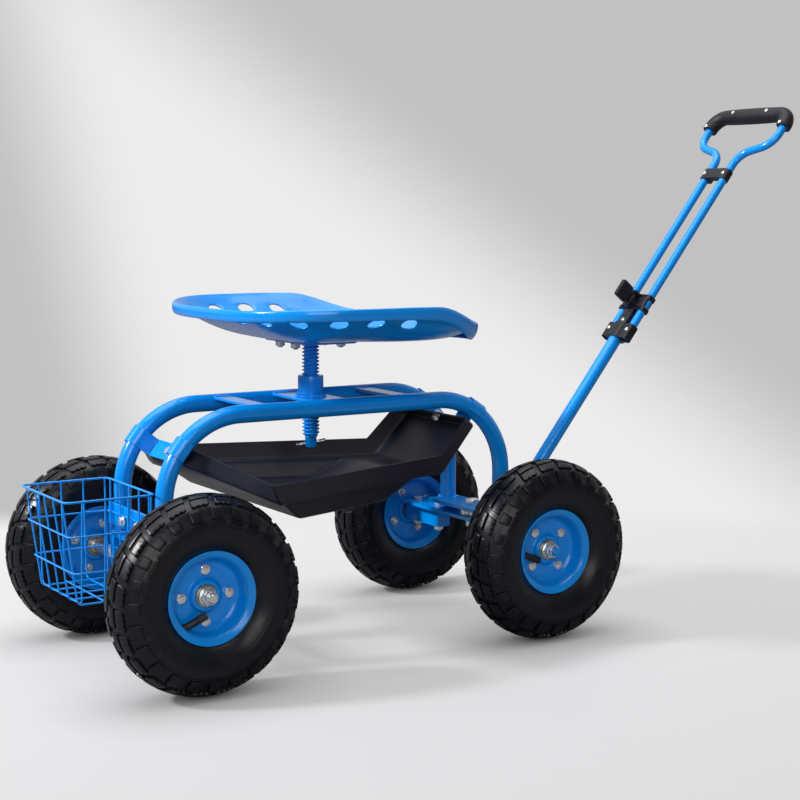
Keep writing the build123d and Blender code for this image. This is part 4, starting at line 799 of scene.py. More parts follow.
def flanged_bolt(grip):
    """Small bolt with its flange on Z = 0, shank down through the grip, and its nut below."""
    head, nut, shank = bolt(*BOLT_6, grip, BOLT_6_TAIL, BOLT_6_PITCH)
    flange = turned(rounded(FLANGE_OUTLINE, FLANGE_SOFTEN, steps=3), FLANGE_STEPS, closed=False)
    return [raised(head, FLANGE_HEIGHT), nut, shank, flange]


small_bolts = []
for end, angle in STRAP_ANGLES.values():
    at, out, down = strap_axes(end, angle)
    shift = 0.0 if end < 0 else FLANGE_RADIUS - STRAP_WIDTH / 2
    spot = at - out * (TRAY_HANG - STRAP_THICKNESS) + down * shift
    across = Vector((0, 1, 0))
    place = Matrix.Translation(spot) @ Matrix((across, out.cross(across), out)).transposed().to_4x4()
    small_bolts += all_placed(flanged_bolt(STRAP_THICKNESS + TRAY_WALL), place)
wire = 2 * WIRE_RADIUS
for side in (-1, 1):
    place = Matrix.Translation((basket_front - wire, side * BASKET_BOLT_Y, BASKET_BOLT_Z))
    place = place @ Matrix.Rotation(-math.pi / 2, 4, "Y")
    small_bolts += all_placed(flanged_bolt(wire + bar_high.x - bar_low.x), place)
piece("flanged_bolts", "frame_bolts", small_bolts, zinc_plate, "frame")


# Wheels: an air-filled 10 inch tyre on a rim of two steel pressings, bolted face to face round the hub
# with two ball bearings pressed in. The moulded tread has two rows of long blocks and a row of shoulder
# lugs on each side of its middle groove.
WHEEL_TURNS = {"rear_right": 0.0, "rear_left": 20.0, "front_right": -50.0, "front_left": 62.0}
TYRE_RADIUS = 127.5
TYRE_HALF_WIDTH = 39.5
TYRE_STEPS = 192
TYRE_CREASE = 40.0
TYRE_WIDEST = 91.15
# Points of the tyre's section as radius and way across: crown's middle, shoulder, bead, and bead's inside.
TREAD_CROWN = (124.9, 16.0)
TREAD_SHOULDER = (118.5, 29.0)
TYRE_BEAD = (60.0, 24.3)
BEAD_INNER = (51.0, 21.5)
CROWN_STEPS = 16
FLANK_STEPS = 40
CARCASS_STEP = 1.6
GROOVE_DEPTH = 3.2
GROOVE_FADE = (10.0, 26.0)
MOULD_LINES = (62.0, 70.0)
MOULD_LINE_HEIGHT = 0.5
MOULD_LINE_WIDTH = 0.7
TREAD_PITCHES = 24
PITCH_LENGTH = 33.0
TREAD_STAGGER = 0.25
# Rows of the tread on one side, from the crown out: start, width, length in pitches, slant, shift, scallop,
# depth, lift over the skin, and the rows and columns of faces.
TREAD_ROWS = (
    (3.0, 9.0, 0.72, 0.10, 0.0, 0.0, 3.2, 0.0, 3, 8),  # blocks beside the middle groove
    (17.0, 9.4, 0.70, 0.08, 0.16, 2.4, 3.2, 0.0, 4, 18),  # scalloped blocks
    (35.0, 14.0, 0.46, 0.0, 0.66, 0.0, 2.8, 0.6, 5, 6),  # shoulder lugs
    (51.6, 1.2, 0.62, 0.0, 0.66, 0.0, 0.8, 0.5, 1, 6),  # bar under each lug
    (57.5, 1.0, 0.5, 0.0, 0.66, 0.0, 0.8, 0.4, 1, 6),  # second, shorter bar
    (51.0, 10.0, 0.035, 0.0, 0.18, 0.0, 0.8, 0.4, 6, 1),  # long rib between lugs
    (51.0, 6.0, 0.035, 0.0, 0.06, 0.0, 0.8, 0.4, 4, 1))  # short rib beside it
SCALLOPS = 3
BLOCK_SOFTEN = 0.7
# A block's rounded edge drops by this share of its width; its wall flares and sinks into the carcass.
BLOCK_EDGE_DROP = 0.4
BLOCK_WALL_FLARE = 1.6
BLOCK_ROOT_SINK = 0.6
# Hairs left by the mould's vents, on every third pitch: way out from the crown and pitches round.
VENT_SPOTS = ((66.0, 0.2), (74.0, 0.7))
VENT_RADII = [0.7, 0.5]
VENT_ROOT = 0.2
VENT_TIP = -1.2
VENT_EVERY = 3

# Tyre rubber: carbon-black compound cured in a steel mould. The eye sees a near black with a cool cast,
# a satin sheen that comes and goes in patches, and a pitted skin; the pits are drawn coarse to show.
tyre_rubber = finish(
    "cured_tyre_rubber", {"IOR": 1.52, "Specular IOR Level": 0.3},
    {"bloom": ("ShaderNodeTexNoise", {"Scale": per(30), "Detail": 6.0}, "Fac"),
     "pits": ("ShaderNodeTexNoise", {"Scale": per(6), "Detail": 5.0}, "Fac")},
    tones=("bloom", "090B10", "10131A"), relief=("pits", 0.5, 0.6),
    gloss=("bloom", 0.3, 0.7, 0.26, 0.42))


def arc(a, b, c, steps):
    """Points on the arc of a circle from a through b to c, in a plane."""
    a, b, c = Vector(a), Vector(b), Vector(c)
    turn = 2 * (a.x * (b.y - c.y) + b.x * (c.y - a.y) + c.x * (a.y - b.y))
    a2, b2, c2 = a.length_squared, b.length_squared, c.length_squared
    middle = Vector(((a2 * (b.y - c.y) + b2 * (c.y - a.y) + c2 * (a.y - b.y)) / turn,
                     (a2 * (c.x - b.x) + b2 * (a.x - c.x) + c2 * (b.x - a.x)) / turn))
    start = math.atan2(a.y - middle.y, a.x - middle.x)
    end = math.atan2(c.y - middle.y, c.x - middle.x)
    radius = (a - middle).length
    return [middle + Vector(polar(radius, start + (end - start) * k / steps)) for k in range(steps + 1)]


crown_line = arc((TYRE_RADIUS, 0), TREAD_CROWN, TREAD_SHOULDER, CROWN_STEPS)
flank_line = arc(TREAD_SHOULDER, (TYRE_WIDEST, TYRE_HALF_WIDTH), TYRE_BEAD, FLANK_STEPS)
tyre_line = crown_line + flank_line[1:]
tyre_runs = [0.0]
for a, b in zip(tyre_line, tyre_line[1:]):
    tyre_runs.append(tyre_runs[-1] + (b - a).length)
shoulder_run = tyre_runs[len(crown_line) - 1]


def tyre_section(run):
    """Point and outward direction of the tyre's skin at a distance from the crown, in (radius, across)."""
    side = -1 if run < 0 else 1
    run = min(abs(run), tyre_runs[-1] - 1e-6)
    index = next(k for k in range(len(tyre_runs) - 1) if tyre_runs[k + 1] > run)
    share = (run - tyre_runs[index]) / (tyre_runs[index + 1] - tyre_runs[index])
    spot = tyre_line[index].lerp(tyre_line[index + 1], share)
    along = (tyre_line[index + 1] - tyre_line[index]).normalized()
    return Vector((spot.x, side * spot.y)), Vector((along.y, -side * along.x))


def on_tyre(run, around, depth):
    """Point in the wheel's frame: run across from the crown, around in pitches, depth under the skin."""
    spot, out = tyre_section(run)
    spot = spot - out * depth
    return *polar(spot.x, 2 * math.pi * around / TREAD_PITCHES), spot.y


def tread_block(side, turn, start, width, length, slant, shift, scallop, depth, lift, rows, columns):
    """Moulded block: width across from a start run, length along in pitches, its outer edge scalloped."""
    soften = min(BLOCK_SOFTEN, width / 4)

    def skin(u, v, grow_u, grow_v, sink):
        reach = width + scallop * abs(math.sin(SCALLOPS * math.pi * v))
        around = turn + shift + length * (v - 0.5) + slant * u + grow_v / PITCH_LENGTH
        return on_tyre(side * (start + u * reach + grow_u), around, sink - lift)

    points = [skin(i / rows, k / columns, 0, 0, 0) for i in range(rows + 1) for k in range(columns + 1)]
    polygons = []
    for i in range(rows):
        for k in range(columns):
            a = i * (columns + 1) + k
            polygons.append((a, a + 1, a + columns + 2, a + columns + 1))
    edge = [(0, k) for k in range(columns)] + [(i, columns) for i in range(rows)]
    edge += [(rows, k) for k in range(columns, 0, -1)] + [(i, 0) for i in range(rows, 0, -1)]
    upper = [i * (columns + 1) + k for i, k in edge]
    for grow, sink in ((soften, BLOCK_EDGE_DROP * soften),
                       (BLOCK_WALL_FLARE * soften, depth + lift + BLOCK_ROOT_SINK)):
        lower = list(range(len(points), len(points) + len(edge)))
        for i, k in edge:
            grow_u = grow * ((i == rows) - (i == 0))
            grow_v = grow * ((k == columns) - (k == 0))
            points.append(skin(i / rows, k / columns, grow_u, grow_v, sink))
        for k in range(len(edge)):
            polygons.append((upper[k - 1], lower[k - 1], lower[k], upper[k]))
        upper = lower
    return points, polygons


def eased(value, start, end):
    """Smooth step from 0 at the start to 1 at the end."""
    share = min(max((value - start) / (end - start), 0.0), 1.0)
    return share * share * (3 - 2 * share)


carcass_runs = [k * CARCASS_STEP for k in range(int(tyre_runs[-1] / CARCASS_STEP))] + [tyre_runs[-1]]
carcass = []
for run in [-run for run in reversed(carcass_runs)] + carcass_runs[1:]:
    spot, out = tyre_section(run)
    depth = GROOVE_DEPTH * (1 - eased(abs(run) - shoulder_run, *GROOVE_FADE))
    for line_at in MOULD_LINES:
        depth -= MOULD_LINE_HEIGHT * math.exp(-((abs(run) - line_at) / MOULD_LINE_WIDTH) ** 2)
    carcass.append(spot - out * depth)
carcass += [BEAD_INNER, (BEAD_INNER[0], -BEAD_INNER[1])]
tyre_shapes = [turned(carcass, TYRE_STEPS)]
for pitch in range(TREAD_PITCHES):
    for side in (-1, 1):
        turn = pitch + TREAD_STAGGER * side
        tyre_shapes += [tread_block(side, turn, *row) for row in TREAD_ROWS]
        if (pitch + (side > 0)) % VENT_EVERY == 0:
            for run, around in VENT_SPOTS:
                hair = [on_tyre(side * run, turn + around, depth) for depth in (VENT_ROOT, VENT_TIP)]
                tyre_shapes.append(tube(hair, VENT_RADII, sides=8))
tyre_mesh = shaped("tyre", tyre_shapes, tyre_rubber, crease=TYRE_CREASE)

# Rim halves: sheet steel spun and pressed to a dish, with a rolled lip that holds the bead. Two of them
# meet back to back in the wheel's middle plane, powder coated like the frame. Radius and way out:
RIM_OUTLINE = ((14.0, 0.0), (50.8, 0.0), (50.8, 20.8), (58.6, 23.6), (60.0, 25.2), (59.4, 26.3),
               (57.6, 25.8), (54.2, 24.2), (51.4, 22.6), (49.4, 19.8), (48.4, 15.0), (47.4, 9.6),
               (45.4, 5.2), (42.0, 2.7), (38.0, 2.0), (25.0, 2.0), (22.6, 2.7), (21.0, 4.6),
               (20.0, 7.0), (18.6, 8.4), (14.0, 8.4))
RIM_SOFTEN = 2.4
RIM_STEPS = 120
RIM_CREASE = 50.0
rim_half = turned(rounded(RIM_OUTLINE, RIM_SOFTEN, steps=5, closed=True), RIM_STEPS)
rim_mesh = shaped("rim_half", [rim_half], blue_powder_coat, crease=RIM_CREASE)

# Ball bearings: ground steel races with a pressed shield between, pushed into each side of the hub.
# The eye sees turned rings, drawn coarse to show, and a metal warmer than the zinc beside it.
BEARING_OUTLINE = ((6.0, 0.0), (14.0, 0.0), (14.0, 8.0), (11.4, 8.0), (11.4, 7.4), (8.6, 7.4), (8.6, 8.0),
                   (6.0, 8.0))
BEARING_SOFTEN = 0.3
BEARING_FROM_MIDDLE = 0.4
bearing_steel = finish(
    "ground_bearing_steel", {"Metallic": 1.0, "Roughness": 0.3},
    {"oil": ("ShaderNodeTexNoise", {"Scale": per(6), "Detail": 3.0}, "Fac"),
     "turning": ("ShaderNodeTexWave",
                 {"wave_type": "RINGS", "rings_direction": "Z", "Scale": per(1.0)}, "Fac")},
    tones=("oil", "A79C84", "C9C2B2"), relief=("turning", 0.12, 0.1))
bearing_ring = turned(rounded(BEARING_OUTLINE, BEARING_SOFTEN, steps=2, closed=True))
bearing = raised(bearing_ring, BEARING_FROM_MIDDLE)
far_bearing = placed(bearing, Matrix.Rotation(math.pi, 4, "X"))
bearing_mesh = shaped("bearings", [bearing, far_bearing], bearing_steel)

# Rim bolts: four zinc-plated hexagon bolts through both pressings, heads outside and nuts inside. They
# clamp the two halves round the tyre's beads.
# Across the flats, heights of head and nut, and shank radius.
RIM_BOLT = (12.0, 5.0, 6.0, 4.0)
RIM_BOLT_CIRCLE = 33.0
RIM_BOLT_COUNT = 4
RIM_SHEET = 2.0
rim_bolts = []
for turn in turns_round(RIM_BOLT_COUNT):
    place = Matrix.Rotation(turn, 4, "Z") @ Matrix.Translation((RIM_BOLT_CIRCLE, 0, RIM_SHEET))
    rim_bolts += all_placed(bolt(*RIM_BOLT, grip=2 * RIM_SHEET), place)
rim_bolt_mesh = shaped("rim_bolts", rim_bolts, zinc_plate)

# Valve stem: the inner tube's moulded rubber stem, coming through the outer rim's wall, with its ribbed
# cap. The eye sees a smoother rubber than the tyre's, a touch greyer with dust.
# Ends of the stem: way from the axle line, angle, and way out from the wheel's middle.
VALVE_BASE = (45.0, 232.0, 9.0)
VALVE_TIP = (23.0, 262.0, 14.0)
VALVE_STEPS = 40
VALVE_SOFTEN = 0.5
# The stem from its foot, as radius and height in millimetres, then its cap, with heights as shares of it.
STEM_FOOT = ((0.0, -5.0), (6.0, -5.0), (5.6, -2.5), (4.6, 0.0), (4.5, 3.0))
STEM_CAP = ((4.5, 0.52), (4.1, 0.54), (4.1, 0.57), (4.8, 0.58), (4.8, 1.0), (0.0, 1.0))
CAP_RIBS = 12
CAP_RIB_AT = 4.7
CAP_RIB_RADIUS = 0.5
CAP_RIB_ENDS = (0.6, 0.96)
valve_rubber = finish(
    "moulded_valve_rubber", {"IOR": 1.5, "Roughness": 0.42},
    {"dust": ("ShaderNodeTexNoise", {"Scale": per(5), "Detail": 4.0}, "Fac")},
    tones=("dust", "121215", "1E1E22"), relief=("dust", 0.1, 0.1))
base, tip = [Vector((*polar(r, math.radians(angle)), z)) for r, angle, z in (VALVE_BASE, VALVE_TIP)]
run = tip - base
stem = list(STEM_FOOT) + [(r, share * run.length) for r, share in STEM_CAP]
valve = [turned(rounded(stem, VALVE_SOFTEN, steps=3), VALVE_STEPS, closed=False)]
for turn in turns_round(CAP_RIBS):
    rib = [(*polar(CAP_RIB_AT, turn), share * run.length) for share in CAP_RIB_ENDS]
    valve.append(tube(rib, CAP_RIB_RADIUS, sides=8))
valve_place = Matrix.Translation(base) @ run.to_track_quat("Z", "Y").to_matrix().to_4x4()
valve_mesh = shaped("valve_stem", all_placed(valve, valve_place), valve_rubber)

for wheel, side in WHEELS.items():
    centre = wheel_centres[wheel] * MM
    square = wheel_place(centre, side)
    outer = wheel_place(centre, side, WHEEL_TURNS[wheel])
    inner = outer @ Matrix.Rotation(math.pi, 4, "X")
    for name, node, mesh, slot, place in (
            ("moulded_tyre", "tyre", tyre_mesh, "tyre_rubber", square),
            ("outer_pressing", "outer_rim", rim_mesh, "blue_painted_steel", outer),
            ("inner_pressing", "inner_rim", rim_mesh, "blue_painted_steel", inner),
            ("bolt_set", "rim_bolts", rim_bolt_mesh, "zinc_plated_steel", outer),
            ("ball_bearings", "bearings", bearing_mesh, "bearing_steel", outer),
            ("valve", "valve_stem", valve_mesh, "valve_rubber", outer)):
        stand_in(f"{wheel}_{name}", mesh, f"{wheel}_wheel", [f"{wheel}_{node}"], place)


# Handle tube: a plain 20 mm steel tube from the yoke pin up into the guide block, cut square at both
# ends and powder coated. The yoke's pin passes through its lower end.
TUBE_RADIUS = 10.0
TUBE_BORE = 8.5
TUBE_SOFTEN = 0.4
TUBE_STEPS = 48
TUBE_TAIL = 12.0
TUBE_CAP = 3.0
GUIDE_AT = 331.0
GUIDE_LENGTH = 27.0

along = Vector(joints["handle_slide"]["axis"]).normalized()
across = Vector((0, 1, 0))
handle_axes = Matrix((across.cross(along), across, along)).transposed().to_4x4()
handle_place = Matrix.Translation(pin_at) @ handle_axes
guide_top = GUIDE_AT + GUIDE_LENGTH
tube_wall = rectangle(TUBE_BORE, -TUBE_TAIL, TUBE_RADIUS, guide_top - TUBE_CAP)
lower_tube = turned(rounded(tube_wall, TUBE_SOFTEN, steps=2, closed=True), TUBE_STEPS)
piece("handle_lower_tube", "handle_tube", [placed(lower_tube, handle_place)], blue_powder_coat,
      "handle_lower")


# Guide and lock blocks: two black mouldings on the lower tube that the loop's rods slide through. A flat
# tongue joins them; the lock block carries the cam lever that squeezes the rods.
BLOCK_WIDTH = 58.0
BLOCK_THICKNESS = 16.0
BLOCK_CORNER = 4.0
BLOCK_EDGE = 1.2
TONGUE_WIDTH = 20.0
TONGUE_THICKNESS = 16.0
TONGUE_CORNER = 2.0
TONGUE_SINK = 2.0
BOSS_WIDTH = 28.0
BOSS_THICKNESS = 24.0
BOSS_CORNER = 9.0
LOCK_AT = 385.0
LOCK_LENGTH = 30.0
WINDOW_WIDTH = 53.0
WINDOW_ENDS = 8.0
LUG_LENGTH = 6.0
LUG_HEIGHT = 12.0
LUG_WIDTH = 12.0
LUG_SINK = 1.0
LUG_PLAY = 0.6
HUB_LENGTH = 16.0
ROD_SPACING = 21.3
ROD_BORE = 6.9
BORE_STEPS = 40
SCREW_RADIUS = 3.4
SCREW_HEAD = 1.6
SCREW_RINGS = 9
SCREW_SIDES = 48
RECESS_HALF = 0.45
RECESS_REACH = 1.9
RECESS_DEPTH = 0.9
GUIDE_SCREW_UP = 16.2
TONGUE_SCREW_UP = 6.0

# Glass-filled nylon: black mouldings from a lightly etched tool. The eye sees a deep satin black with a
# sand grain, drawn coarse to show, and softer light along the rounded edges.
black_nylon = finish(
    "black_glass_filled_nylon", {"IOR": 1.53, "Specular IOR Level": 0.36},
    {"flow": ("ShaderNodeTexNoise", {"Scale": per(14), "Detail": 5.0}, "Fac"),
     "etch": ("ShaderNodeTexNoise", {"Scale": per(0.9), "Detail": 2.0}, "Fac")},
    tones=("flow", "111118", "1C1C26"), relief=("etch", 0.2, 0.12),
    gloss=("flow", 0.3, 0.7, 0.34, 0.5))


def block_outline(width, thickness, corner):
    """Section of a block with rounded corners, thickness on X and width on Y."""
    return rounded(rectangle(-thickness / 2, -width / 2, thickness / 2, width / 2), corner, steps=6,
                   closed=True)


FILL_INSIDE = 1
FILL_MERGE = 1e-5


def filled(lines, loose=()):
    """Points and triangles that fill closed lines in a plane, loose points too, and the lines' edges."""
    points, edges = [], []
    for line in lines:
        start = len(points)
        points += [Vector(point[:2]) for point in line]
        edges += [(start + k, start + (k + 1) % len(line)) for k in range(len(line))]
    flat, _, faces, _, _, _ = delaunay_2d_cdt(points + list(loose), edges, [], FILL_INSIDE, FILL_MERGE)
    return flat, [tuple(face) for face in faces], edges


def middle_of(flat, face):
    """Middle of a face's corners in a plane."""
    return sum((flat[i] for i in face), Vector((0, 0))) / len(face)


def bored_prism(outline, low, high, bores, radius):
    """Outline in X and Y drawn out along Z, with round bores along Z through it."""
    flat, faces, edges = filled([outline] + [circle((*bore, 0), radius, BORE_STEPS) for bore in bores])
    cover = [face for face in faces
             if all((middle_of(flat, face) - Vector(bore)).length > radius for bore in bores)]
    total = len(flat)
    points = [(point.x, point.y, z) for z in (low, high) for point in flat]
    walls = [(a, b, total + b, total + a) for a, b in edges]
    return points, walls + cover + [tuple(total + i for i in reversed(face)) for face in cover]


def pan_screw():
    """Domed screw head on Z = 0 with a cross recess."""
    rings = []
    for k in range(SCREW_RINGS + 1):
        r = SCREW_RADIUS * k / SCREW_RINGS
        dome = SCREW_HEAD * (1 - (r / SCREW_RADIUS) ** 4)
        ring = []
        for turn in turns_round(SCREW_SIDES):
            x, y = polar(r, turn)
            crossed = min(abs(x), abs(y)) < RECESS_HALF and max(abs(x), abs(y)) < RECESS_REACH
            ring.append((x, y, dome - RECESS_DEPTH * crossed))
        rings.append(ring)
    return lofted(rings, ends=False)


def pan_screws(spots):
    """Screw heads at places in the handle's frame, facing its upper side."""
    upward = Matrix.Rotation(-math.pi / 2, 4, "Y")
    return [placed(pan_screw(), handle_place @ Matrix.Translation(spot) @ upward) for spot in spots]


face_x = -BLOCK_THICKNESS / 2
block = block_outline(BLOCK_WIDTH, BLOCK_THICKNESS, BLOCK_CORNER)
rod_bores = ((0, -ROD_SPACING), (0, ROD_SPACING))
boss = block_outline(BOSS_WIDTH, BOSS_THICKNESS, BOSS_CORNER)
tongue = block_outline(TONGUE_WIDTH, TONGUE_THICKNESS, TONGUE_CORNER)
guide = [bored_prism(block, GUIDE_AT, guide_top, rod_bores, ROD_BORE), prism(boss, GUIDE_AT, guide_top),
         prism(tongue, guide_top - TONGUE_SINK, LOCK_AT)]
piece("guide_block_moulding", "guide_block", all_placed(guide, handle_place), black_nylon, "handle_lower",
      bevel=BLOCK_EDGE)
lock_top, lock_middle = LOCK_AT + LOCK_LENGTH, LOCK_AT + LOCK_LENGTH / 2
lock = [prism(block_outline(WINDOW_WIDTH, BLOCK_THICKNESS, BLOCK_CORNER), LOCK_AT, lock_top)]
for low in (LOCK_AT, lock_top - WINDOW_ENDS):
    lock.append(prism(block, low, low + WINDOW_ENDS))
for side in (-1, 1):
    z = lock_middle + side * (HUB_LENGTH + LUG_LENGTH + LUG_PLAY) / 2
    lock.append(slab((face_x - LUG_HEIGHT, -LUG_WIDTH / 2, z - LUG_LENGTH / 2),
                     (face_x + LUG_SINK, LUG_WIDTH / 2, z + LUG_LENGTH / 2)))
piece("lock_block_moulding", "lock_block", all_placed(lock, handle_place), black_nylon, "handle_lower",
      bevel=BLOCK_EDGE)
spots = [(face_x, side * ROD_SPACING, GUIDE_AT + GUIDE_SCREW_UP) for side in (-1, 1)]
spots.append((-TONGUE_THICKNESS / 2, 0, guide_top + TONGUE_SCREW_UP))
piece("block_pan_screws", "block_screws", pan_screws(spots), zinc_plate, "handle_lower")


# Lock lever: a black nylon cam moulded in one with its two trunnions and a ribbed thumb paddle. It snaps
# between the lock block's lugs, and flipping it frees the rods.
LEVER_RISE = 6.0
LEVER_HUB = 5.0
LEVER_PIN = 2.44
LEVER_NECK = 9.2
LEVER_STEPS = 32
LEVER_EDGE = 0.7
NECK_SINK = 2.0
PADDLE_LENGTH = 24.0
PADDLE_WIDTH = 29.0
PADDLE_THICKNESS = 6.0
PADDLE_CORNER = 3.0
PADDLE_RIBS = 6
RIB_HEIGHT = 1.0

lever_place = handle_place @ Matrix.Translation((face_x - LEVER_RISE, 0, lock_middle))
hub_half, pin_half = HUB_LENGTH / 2, HUB_LENGTH / 2 + LUG_LENGTH
hub_side = [(LEVER_HUB, hub_half), (LEVER_PIN, hub_half), (LEVER_PIN, pin_half), (0, pin_half)]
hub = [(r, -z) for r, z in reversed(hub_side)] + hub_side
thick = PADDLE_THICKNESS / 2
paddle = rounded(rectangle(-LEVER_NECK - PADDLE_LENGTH, -PADDLE_WIDTH / 2, -LEVER_NECK, PADDLE_WIDTH / 2),
                 PADDLE_CORNER, steps=5, closed=True)
lever = [turned(hub, LEVER_STEPS, closed=False),
         slab((-LEVER_NECK - NECK_SINK, -thick, -hub_half), (0, thick, hub_half)),
         lofted([[(x, y, z) for x, z in paddle] for y in (-thick, thick)])]
rib_pitch = PADDLE_LENGTH / PADDLE_RIBS
rib_reach, rib_half = thick + RIB_HEIGHT, PADDLE_WIDTH / 2 - rib_pitch / 2
for k in range(PADDLE_RIBS):
    x = -LEVER_NECK - (k + 0.5) * rib_pitch
    lever.append(slab((x - rib_pitch / 4, -rib_reach, -rib_half), (x + rib_pitch / 4, rib_reach, rib_half)))
piece("lock_lever_moulding", "lock_lever", all_placed(lever, lever_place), black_nylon, "lock_lever",
      bevel=LEVER_EDGE)


# Handle loop: one 13 mm steel tube bent to two parallel rods that spread into the grip's loop, and powder
# coated. Its rods slide in the blocks, so that the handle can be drawn out.
LOOP_RADIUS = 6.5
LOOP_SIDES = 32
LOOP_START = GUIDE_AT + 3.0
LOOP_STRAIGHT = 682.0
LOOP_SPREAD = 72.0
LOOP_BEND = 30.0
LOOP_BEND_STEPS = 14
GRIP_HALF = 84.0
GRIP_BEND = 24.0
GRIP_LEG = 15.5

spread = math.radians(LOOP_SPREAD)
ease = LOOP_BEND * math.tan(spread / 2)
knee = LOOP_STRAIGHT + ease
elbow = knee + (GRIP_HALF - ROD_SPACING) / math.tan(spread)
grip_top = elbow + ease + GRIP_LEG + GRIP_BEND


def grip_bow(start, steps):
    """Line of the loop's top, from a height on one leg over to the other."""
    return rounded([(0, GRIP_HALF, start), (0, GRIP_HALF, grip_top), (0, -GRIP_HALF, grip_top),
                    (0, -GRIP_HALF, start)], GRIP_BEND, steps)


half_loop = [(0, ROD_SPACING, LOOP_START), (0, ROD_SPACING, knee), (0, GRIP_HALF, elbow),
             (0, GRIP_HALF, grip_top)]
half_path = rounded(half_loop, LOOP_BEND, LOOP_BEND_STEPS)[:-1]
bow = grip_bow(elbow + ease, LOOP_BEND_STEPS)[1:-1]
loop_path = half_path + bow + [Vector((0, -point.y, point.z)) for point in reversed(half_path)]
rods = placed(tube(loop_path, LOOP_RADIUS, LOOP_SIDES), handle_place)
piece("handle_loop_tube", "handle_loop", [rods], blue_powder_coat, "handle_upper")


# Grip and bridge: two moulded shells screwed together round the loop's top, a little fuller in the palm,
# and a flat block that ties the rods below. Pan screws on the upper side hold each.
GRIP_RADIUS = 12.2
GRIP_END = 4.0
GRIP_SIDES = 40
GRIP_CREASE = 60.0
GRIP_SWELL = 0.9
GRIP_BEND_STEPS = 20
PALM_STEPS = 24
# How far the grip is turned down at its end and at the next point, and where extra points stand there.
GRIP_END_CUTS = (1.6, 0.4, 0.0)
GRIP_END_SHARES = (0.15, 0.4)
GRIP_SCREW_AT = 38.0
BRIDGE_AT = 660.0
BRIDGE_LENGTH = 20.0
BRIDGE_WIDTH = 58.0
BRIDGE_THICKNESS = 17.0
BRIDGE_CORNER = 8.0
HOLLOW_HALF = 11.0
HOLLOW_DEPTH = 7.0
HOLLOW_CORNER = 3.0

# Grip moulding: soft-touch polypropylene with a leather-like grain. The eye sees a dull black with a
# broad low sheen.
grip_plastic = finish(
    "grained_grip_polypropylene", {"IOR": 1.49, "Specular IOR Level": 0.36},
    {"wear": ("ShaderNodeTexNoise", {"Scale": per(20), "Detail": 4.0}, "Fac"),
     "leather": ("ShaderNodeTexVoronoi", {"Scale": per(1.5), "feature": "DISTANCE_TO_EDGE"}, "Distance")},
    tones=("wear", "131319", "1D1D26"), relief=("leather", 0.25, 0.15),
    gloss=("wear", 0.3, 0.7, 0.42, 0.56))

grip_start = grip_top - GRIP_BEND - GRIP_END
grip_path = grip_bow(grip_start, GRIP_BEND_STEPS)
flat_run = GRIP_HALF - GRIP_BEND
bend_end = GRIP_BEND_STEPS + 2
palm = [grip_path[0]] + [grip_path[0].lerp(grip_path[1], share) for share in GRIP_END_SHARES]
palm += grip_path[1:bend_end]
palm += [Vector((0, flat_run - 2 * flat_run * k / PALM_STEPS, grip_top)) for k in range(1, PALM_STEPS)]
palm += grip_path[bend_end:-1]
palm += [grip_path[-1].lerp(grip_path[-2], share) for share in reversed(GRIP_END_SHARES)] + [grip_path[-1]]
grip_radii = []
for k, point in enumerate(palm):
    swell = GRIP_SWELL * (1 - min(abs(point.y) / flat_run, 1.0) ** 2)
    from_end = min(k, len(palm) - 1 - k, len(GRIP_END_CUTS) - 1)
    grip_radii.append(GRIP_RADIUS + swell - GRIP_END_CUTS[from_end])
grip = placed(tube(palm, grip_radii, GRIP_SIDES), handle_place)
piece("handle_grip_shells", "handle_grip", [grip], grip_plastic, "handle_upper",
      crease=GRIP_CREASE)
x, y, inner = BRIDGE_THICKNESS / 2, BRIDGE_WIDTH / 2, BRIDGE_THICKNESS / 2 - HOLLOW_DEPTH
hollow = rounded([(x, -HOLLOW_HALF), (inner, -HOLLOW_HALF), (inner, HOLLOW_HALF), (x, HOLLOW_HALF)],
                 HOLLOW_CORNER, steps=5)
back = rounded([(x, HOLLOW_HALF), (x, y), (-x, y), (-x, -y), (x, -y), (x, -HOLLOW_HALF)], BRIDGE_CORNER,
               steps=6)
bridge = prism(hollow + back[1:-1], BRIDGE_AT - BRIDGE_LENGTH / 2, BRIDGE_AT + BRIDGE_LENGTH / 2)
piece("rod_bridge_moulding", "rod_bridge", [placed(bridge, handle_place)], black_nylon, "handle_upper",
      bevel=BLOCK_EDGE)
spots = []
for side in (-1, 1):
    spots += [(-GRIP_RADIUS, side * GRIP_HALF, grip_start + GRIP_END / 2),
              (-GRIP_RADIUS, side * GRIP_SCREW_AT, grip_top),
              (-BRIDGE_THICKNESS / 2, side * ROD_SPACING, BRIDGE_AT)]
piece("grip_pan_screws", "handle_screws", pan_screws(spots), zinc_plate, "handle_upper")


# Seat screw: a trapezoidal thread rolled on a 24 mm bar, painted with the frame, and a sprung wire
# clip through its plain tip so that it can't be wound out.
THREAD_RADIUS = 11.95
THREAD_ROOT = 9.25
THREAD_PITCH = 5.0
THREAD_CREST = 0.366
THREAD_STEP = 0.5
THREAD_CREASE = 50.0
POST_SIDES = 48
TIP_RADIUS = 8.0
TIP_LENGTH = 14.0
TIP_CHAMFER = 0.8
TIP_END_SHARE = 0.8
CLIP_RADIUS = 1.2
CLIP_SIDES = 12
CLIP_BEND = 4.0
CLIP_PLAY = 0.2
CLIP_FLARE = 5.0
CLIP_ABOVE_TIP = 6.0
CLIP_REACH = 20.0
CLIP_ANGLE = -30.0
CLIP_TILT = -10.0

post_low, post_high = corners("threaded_post")
thread_from = post_low.z + TIP_LENGTH


